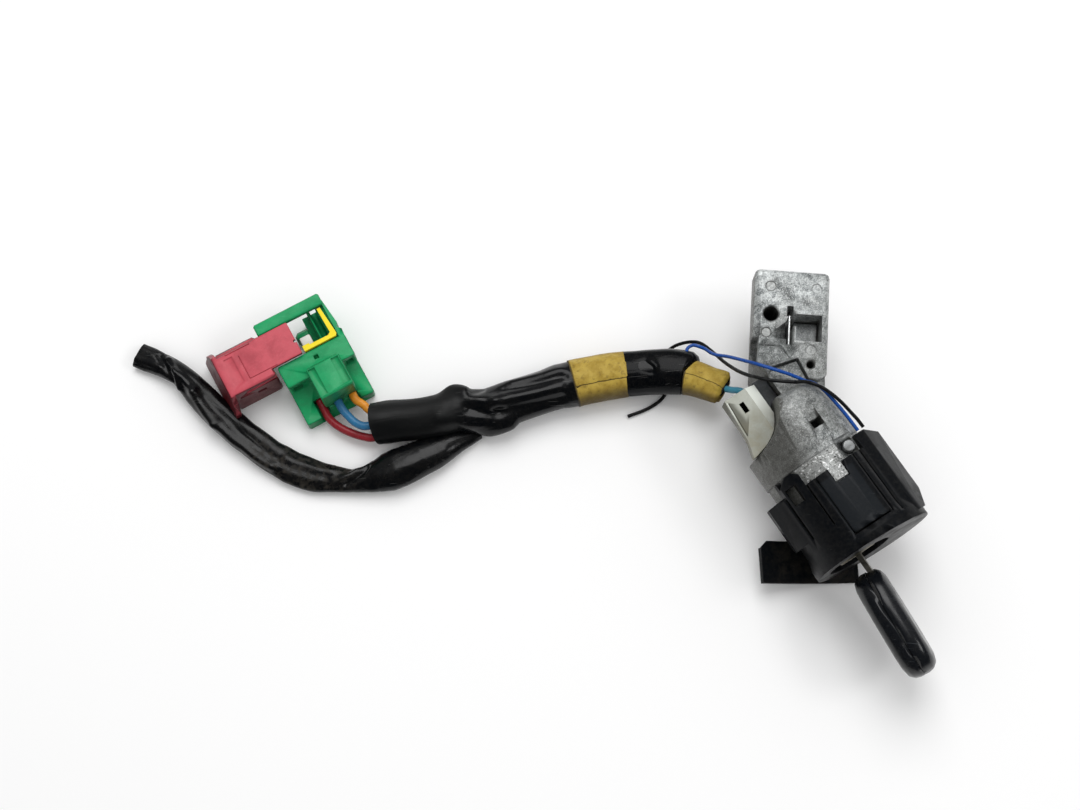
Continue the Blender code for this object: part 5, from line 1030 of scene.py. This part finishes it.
def cloth_tape(name, length, crack_at, burnt_end=False):
    """Mustard cloth tape: a fine weave from the piece's own map, dark rubbed edges and cracks.

    The weave is sin(x) * sin(y) of the place along and round the loom. Both cut edges are dark
    and frayed, a long crack runs along the loom at crack_at (its place round it, in metres of
    the map), and a burnt end is cracked and black over its last 2 mm. Faces that turn down, and
    the side of the loom to the right of its path, are painted darker as shade.
    """
    tree, shader, place = new_finish(name, Specular_IOR_Level=0.25)
    along, around, _ = split(tree, put(tree, "ShaderNodeTexCoord").outputs["UV"])
    warp = math_node(tree, "SINE", times(tree, along, WEAVE))
    weft = math_node(tree, "SINE", times(tree, around, WEAVE))
    stain = patches(tree, place, 170.0, 0.4, 0.66)
    soot = patches(tree, place, 520.0, 0.56, 0.68)
    tone = blend(tree, stain, srgb(182, 155, 66), srgb(152, 124, 42))
    tone = tint(tree, tone, soot, 0.5, srgb(96, 78, 36))
    # Painted shade: faces that turn down, and the side of the loom to the right of its path, are darkened.
    tone = blend(tree, ramp(tree, facing(tree)[2], 0.7, 0.1, 0.0, 0.7), tone, srgb(84, 68, 30))
    lower_side_shade_a, lower_side_shade_b = ramp(tree, around, 0.0100, 0.0045), ramp(tree, around, 0.052, 0.057)
    tone = tint(tree, tone, math_node(tree, "MAXIMUM", lower_side_shade_a, lower_side_shade_b), 0.75, srgb(62, 51, 26))
    shift = more(tree, -0.0008, noise(tree, place, 260.0, 5.0, Roughness=0.65), 0.0016)
    frayed = math_node(tree, "ADD", along, shift)
    ends = ramp(tree, frayed, 0.0012, 0.0003), ramp(tree, frayed, length - 0.001, length)
    edge = math_node(tree, "MAXIMUM", *ends)
    if burnt_end:
        edge = math_node(tree, "MAXIMUM", edge, ramp(tree, frayed, length - 0.0018, length - 0.0006))
    beside = math_node(tree, "SUBTRACT", math_node(tree, "ADD", around, shift), crack_at)
    crack = ramp(tree, math_node(tree, "ABSOLUTE", beside), 0.0003, 0.0001)
    edge = math_node(tree, "MAXIMUM", edge, times(tree, crack, ramp(tree, soot, -0.4, 0.1)))
    tone = tint(tree, tone, edge, 0.9, srgb(38, 31, 18))
    wire_up(tree, shader, Base_Color=tone, Roughness=ramp(tree, stain, 0.0, 1.0, 0.42, 0.6))
    height = more(tree, stain, times(tree, warp, weft), 0.15)
    relief(tree, shader, math_node(tree, "SUBTRACT", height, edge), 0.0003, 0.7)


cloth_tape("band_tape", 0.0265, 0.0115)
cloth_tape("end_tape", 0.0225, 0.014, burnt_end=True)
print("finishes:", len(finishes))

# %% [markdown]
# ## The main sleeve
# The loom is not a round tube of one width: it was measured in the photograph from its far to
# its near edge, every 6 to 18 mm, and behind that it narrows to the contact block's wire. Where
# the second sleeve leaves, a bump stands out on one side and a slack lobe on the other. Behind
# them one long edge runs over the wires, with a groove below it. Ridges on the unrolled surface
# give all of these in a few numbers each.

# %% Main sleeve
SLEEVE_LENGTH, BAND_LENGTH, REAR_LENGTH = 97.0, 25.0, 30.0
RING = 96
band_start = int(SLEEVE_LENGTH / STEP)
rear_start = int((SLEEVE_LENGTH + BAND_LENGTH) / STEP)
rear_end = int((SLEEVE_LENGTH + BAND_LENGTH + REAR_LENGTH) / STEP)


def between_edges(path, s, far_edge, near_edge, places):
    """Shift a path to the middle of its two edges, and give the half width from edge to edge."""
    far = np.interp(s, places, far_edge)
    near = np.interp(s, places, near_edge)
    right = path_frame(path)[1]
    return path + right * (0.5 * (far + near))[:, None], 0.5 * (near - far)


def main_lift(s, angle):
    """A bump on the far side, a lobe on the near side, and one long edge over the wires.

    Above the edge the vinyl slopes gently away, below it a groove drops to the near side.
    """
    ridges = [
        (39.0, 158.0, 42.5, 138.0, 2.6, 3.6),
        (54.0, -14.0, 61.0, 4.0, 2.4, 5.0),
        (45.0, 112.0, 58.0, 92.0, 1.2, 3.4),
        (58.0, 92.0, 90.0, 72.0, 1.1, 3.0),
        (46.0, 84.0, 58.0, 62.0, -1.9, 3.2),
        (58.0, 62.0, 90.0, 44.0, -1.3, 3.0),
        (46.0, 128.0, 52.0, 150.0, -1.0, 3.0),
        (68.0, 140.0, 95.0, 118.0, 0.8, 2.6),
        (64.0, 118.0, 94.0, 100.0, -0.8, 2.0),
        (30.0, 60.0, 46.0, 34.0, 0.9, 3.6),
        (2.0, 60.0, 26.0, 74.0, -0.4, 3.4),
    ]
    fade = np.clip((96.5 - s) / 4.0, 0.0, 1.0)
    mouth = np.exp(-((s / 3.0) ** 2)) * 0.35 * np.sin(np.radians(3 * angle + 40.0))
    return (ridge_field(s, angle, 10.0, ridges) + ripple(s, angle, 3, 0.12, 34.0)) * fade + mouth


s_all = np.arange(len(trunk)) * STEP
EDGE_AT = [0, 6, 12, 30, 46, 54, 60, 66, 72, 84, 90, 96, 108, 120, 126, 144, 150.5, 152.5, 176]
FAR_EDGE = [
    -9.5, -9.7, -9.1, -9.0, -9.7, -9.8, -10.3, -10.7, -10.8, -10.9,
    -11.7, -11.4, -11.4, -11.5, -11.4, -12.0, -11.4, -7.4, -3.6,
]
NEAR_EDGE = [
    10.6, 11.2, 11.0, 11.0, 11.0, 11.4, 11.2, 10.2, 10.1, 9.8,
    10.1, 11.1, 11.0, 10.4, 10.2, 9.9, 9.4, 7.4, 3.6,
]
TALL_AT = [0, 30, 60, 97, 122, 150.5, 152.5, 160, 168, 172]
TALL = [9.1, 9.1, 9.1, 9.1, 9.1, 9.1, 6.6, 5.6, 3.2, 1.4]
trunk_middle, half_wide = between_edges(trunk, s_all, FAR_EDGE, NEAR_EDGE, EDGE_AT)
half_tall = np.interp(s_all, TALL_AT, TALL)
trunk_skin = finished_piece(
    "loom_sleeve",
    tube_skin(trunk_middle, half_wide, half_tall, RING, main_lift, 1.1, (7.0, 0.0), lip=3.0),
    "sleeve_vinyl",
    "black_sleeve",
    "harness_sleeve",
    "rear_sleeve",
)
print("loom:", round(2 * float(half_wide.min()), 1), "to", round(2 * float(half_wide.max()), 1), "mm wide")

# %% [markdown]
# ## Tape band, rear tape and rear sleeve
# The band lies round the loom like a cuff, a third of a millimetre above it, with two long
# folds. The rear tape narrows to the wire of the contact block, and its end is crumpled flat.
# Between them lies a short piece of sleeve with a round dent. Each is a tube of its own over
# the loom, because real tape and sleeve have edges that a painted stripe would lack.

# %% Tape band
BAND_OVER = 0.35


def band_lift(s, angle):
    """Tape lies nearly even: small ripples and two long folds."""
    folds = [(1.0, 66.0, 24.0, 70.0, -0.25, 0.9), (2.0, 205.0, 24.0, 214.0, 0.4, 2.0)]
    return ripple(s, angle, 8, 0.1, 22.0) + ridge_field(s, angle, 9.8, folds)


rows = slice(band_start - 1, rear_start + 2)
band_wide, band_tall = half_wide[rows] + BAND_OVER, half_tall[rows] + BAND_OVER
finished_piece(
    "tape_band_skin",
    tube_skin(trunk_middle[rows], band_wide, band_tall, RING, band_lift, 0.3, (0.8, 0.8)),
    "band_tape",
    "mustard_tape",
    "tape_band",
)
print("band length mm:", round(path_length(trunk_middle[rows]), 1))

# %% Rear tape
tape_path = trunk[rear_end - 2:]
share = np.linspace(0.0, 1.0, len(tape_path))
tape_path = tape_path + path_frame(tape_path)[1] * np.interp(share, [0.0, 1.0], [0.9, 0.4])[:, None]
tape_wide = np.interp(share, [0.0, 0.3, 0.85, 0.95, 1.0], [9.1, 8.7, 8.2, 7.8, 6.0])
tape_tall = np.interp(share, [0.0, 0.3, 0.7, 0.95, 1.0], [7.9, 7.8, 6.6, 4.4, 2.2])


def crumpled_lift(s, angle):
    """The rear tape: ripples that grow into sharp folds where its end is pressed together."""
    folds = np.clip((s - 12.0) / 8.0, 0.0, 1.0) * (
        0.5 * np.sin(np.radians(5 * angle + 20.0)) + 0.3 * np.sin(np.radians(9 * angle + 6.0 * s))
    )
    return ripple(s, angle, 11, 0.14, 22.0) + folds


finished_piece(
    "rear_tape_skin",
    tube_skin(tape_path, tape_wide, tape_tall, RING, crumpled_lift, 0.5, (1.0, 1.0)),
    "end_tape",
    "mustard_tape",
    "rear_tape",
)
print("rear tape length mm:", round(path_length(tape_path), 1))


# %% Rear sleeve
REAR_OVER = 0.2


def rear_lift(s, angle):
    """The rear sleeve: a round dent with a raised rim on top, long ridges, and a flared cut end."""
    ridges = [
        (9.0, 94.0, 12.0, 86.0, -1.0, 2.0),
        (12.5, 104.0, 14.5, 90.0, 0.8, 1.7),
        (2.0, 140.0, 27.0, 132.0, 0.6, 2.6),
        (4.0, 60.0, 26.0, 56.0, 0.4, 3.2),
    ]
    flare = np.clip((s - 24.0) / 6.0, 0.0, 1.0) * (0.3 + 0.3 * np.sin(np.radians(2 * angle + 30.0)))
    return ridge_field(s, angle, 9.6, ridges) + ripple(s, angle, 5, 0.1, 20.0) + flare


rows = slice(rear_start, rear_end + 1)
rear_wide, rear_tall = half_wide[rows] + REAR_OVER, half_tall[rows] + REAR_OVER
finished_piece(
    "rear_sleeve_skin",
    tube_skin(trunk_middle[rows], rear_wide, rear_tall, RING, rear_lift, 0.9, (1.0, 6.0)),
    "rear_vinyl",
    "black_sleeve",
)
print("rear sleeve length mm:", round(path_length(trunk_middle[rows]), 1))

# %% [markdown]
# ## Wires
# Three thick wires run from the connector into the sleeve, and two thin ones lie over the
# casting to the key end. A wire is a plain round tube, a little uneven, that keeps its
# thickness in every bend.

# %% Wires at the connector
def wire(name, points, radius, finish, slot, node, step=STEP, ring=18):
    """A round wire along points in the part's frame, in mm. Returns the piece and its path."""
    path = smooth_path(points, step)

    def lift(s, angle):
        return ripple(s, angle, 21, radius * 0.02, 14.0, 1)

    surface = tube_skin(path, radius, radius, ring, lift, 0.3, (0.0, 0.0))
    return finished_piece(name, surface, finish, slot, node), path


turn_cos, turn_sin = math.cos(CONNECTOR_TURN), math.sin(CONNECTOR_TURN)
for node, points in WIRE_ENDS.items():
    hole, hole_z = WIRE_HOLES[node]
    start = [
        (
            CONNECTOR_AT[0] + hole * turn_cos - y * turn_sin,
            CONNECTOR_AT[1] + hole * turn_sin + y * turn_cos,
            hole_z,
        )
        for y in (-9.0, -13.0, -17.5, -22.0)
    ]
    inner = trunk[6:24:8] - LOCK_PLACE + np.array([0.0, (hole - 2.6) * 0.4, (hole_z - 9.2) * 0.5])
    route = np.array(start + points + inner.tolist()) + LOCK_PLACE
    wire(node + "_skin", route, 2.0, node.split("_")[1] + "_insulation", node, node)

# %% [markdown]
# ## Thin wires over the casting
# The two signal wires lie on the barrel and on the block. Their route gives where they pass,
# and their height is worked out, so that no bend dips into the metal: over the barrel it is
# the height of a circle of the barrel's radius plus the wire's own.

# %% Thin wires
BARREL_X, BARREL_Z, BARREL_R = 6.3, 30.0, 24.7
BARREL_END_Y, END_ROUND = 78.0, 10.0
LEDGE_TOP, SIGNAL_R = 40.0, 0.85


def over_casting(points, clearance):
    """Thin wires above the block's top keep clear of the casting by at least the clearance.

    The barrel rises to 30 + sqrt(r^2 - x^2), with x measured from its middle line, and r
    shrinks along a quarter circle over its rounded end.
    """
    path = smooth_path(points, 1.0)
    into = np.clip(path[:, 1] - (BARREL_END_Y - END_ROUND), 0.0, END_ROUND)
    r = BARREL_R + SIGNAL_R + clearance
    r = r - END_ROUND + np.sqrt(np.maximum(END_ROUND**2 - into**2, 0.0))
    across = np.abs(path[:, 0] - BARREL_X)
    top = BARREL_Z + np.sqrt(np.maximum(r**2 - across**2, 0.0))
    on_barrel = (across < r) & (path[:, 1] < BARREL_END_Y)
    top = np.where(on_barrel, top, LEDGE_TOP + SIGNAL_R + clearance)
    path[:, 2] = np.where(path[:, 2] > BLOCK_TOP, np.maximum(path[:, 2], top), path[:, 2])
    return path[::3] if len(path) % 3 == 1 else np.vstack([path[::3], path[-1]])


for colour, points, clearance in (("black", BLACK_ROUTE, 2.6), ("blue", BLUE_ROUTE, 0.6)):
    shade = "dark_blue" if colour == "blue" else colour
    wire(
        f"signal_{colour}_skin",
        over_casting(points, clearance) + LOCK_PLACE,
        SIGNAL_R,
        shade + "_insulation",
        "wire_" + shade,
        "signal_wire_" + colour,
        ring=12,
    )
wire(
    "switch_wire_skin",
    np.array(SWITCH_WIRE_ROUTE) + LOCK_PLACE,
    1.6,
    "teal_insulation",
    "wire_teal",
    "switch_wire",
    step=0.4,
)

# %% [markdown]
# ## The empty sleeve
# The second sleeve has no wires in it, so it lies flat, as a band 10 to 19 mm wide with soft
# ridges along its top. It comes out from under the main sleeve, runs past the connector and
# ends in a flat cut. As with the loom, its two edges were measured in the photograph, and the
# ellipse of its section follows them. Two folds cross it where it is bent.

# %% Spare sleeve
spare_line = smooth_path(np.array(SPARE_ROUTE) + LOCK_PLACE, STEP)
spare_s = np.arange(len(spare_line)) * STEP
SPARE_AT = [
    0, 6, 12, 18, 24, 30, 36, 42, 48, 54, 60, 66, 72, 78, 84, 90, 96,
    102, 108, 114, 120, 126, 138, 150, 156, 162, 168, 174, 180, 186, 193,
]
SPARE_OUTER = [
    -2.6, -4.6, -6.0, -7.2, -8.1, -8.3, -8.6, -8.6, -8.2, -6.6, -5.5, -5.5, -6.2, -6.9, -7.9, -8.4, -8.6,
    -7.8, -7.4, -7.2, -6.5, -6.5, -6.1, -5.9, -5.7, -4.8, -3.9, -5.3, -6.5, -7.1, -6.4,
]
SPARE_INNER = [
    4.0, 5.6, 7.0, 7.8, 8.4, 9.0, 9.8, 10.8, 10.6, 8.9, 6.8, 5.4, 6.3, 7.0, 7.5, 7.6, 7.3,
    7.8, 7.7, 8.2, 8.6, 8.5, 8.5, 8.3, 7.8, 7.3, 6.6, 5.9, 5.0, 5.6, 5.9,
]
spare, spare_wide = between_edges(spare_line, spare_s, SPARE_OUTER, SPARE_INNER, SPARE_AT)
spare_tall = np.interp(
    spare_s,
    [0, 14, 30, 44, 56, 68, 90, 110, 130, 150, 166, 178, 193],
    [3.0, 4.4, 5.6, 5.6, 4.6, 3.8, 3.4, 3.8, 4.4, 4.6, 4.8, 3.8, 3.0],
)
spare[:, 2] = LOCK_PLACE[2] + spare_tall + 0.15


def spare_lift(s, angle):
    """One long edge that wanders over the flat sleeve, a fold across it, and a twist at the end."""
    ridges = [
        (104.0, 128.0, 138.0, 134.0, 1.4, 2.4),
        (138.0, 134.0, 156.0, 104.0, 1.4, 2.4),
        (156.0, 104.0, 170.0, 96.0, 1.3, 2.2),
        (104.0, 96.0, 150.0, 84.0, -0.9, 3.0),
        (20.0, 118.0, 52.0, 100.0, 0.8, 4.0),
        (57.0, 44.0, 68.0, 118.0, -1.5, 1.8),
        (63.0, 40.0, 73.0, 110.0, 0.7, 1.6),
        (76.0, 64.0, 100.0, 74.0, 0.6, 2.0),
        (80.0, 110.0, 104.0, 120.0, 0.5, 1.8),
        (163.0, 150.0, 176.0, 52.0, 1.1, 1.8),
        (168.0, 150.0, 181.0, 56.0, -1.2, 1.8),
        (178.0, 110.0, 192.0, 116.0, 0.6, 1.8),
    ]
    top_only = np.where(np.sin(np.radians(angle)) > -0.2, 1.0, 0.0)
    return (ridge_field(s, angle, 7.0, ridges) + ripple(s, angle, 15, 0.1, 24.0)) * top_only


spare_skin = finished_piece(
    "spare_sleeve_skin",
    tube_skin(spare, spare_wide, spare_tall, 88, spare_lift, 0.9, (0.0, 5.0)),
    "spare_vinyl",
    "black_sleeve",
    "spare_sleeve",
)
print("spare sleeve length mm:", round(path_length(spare), 1))
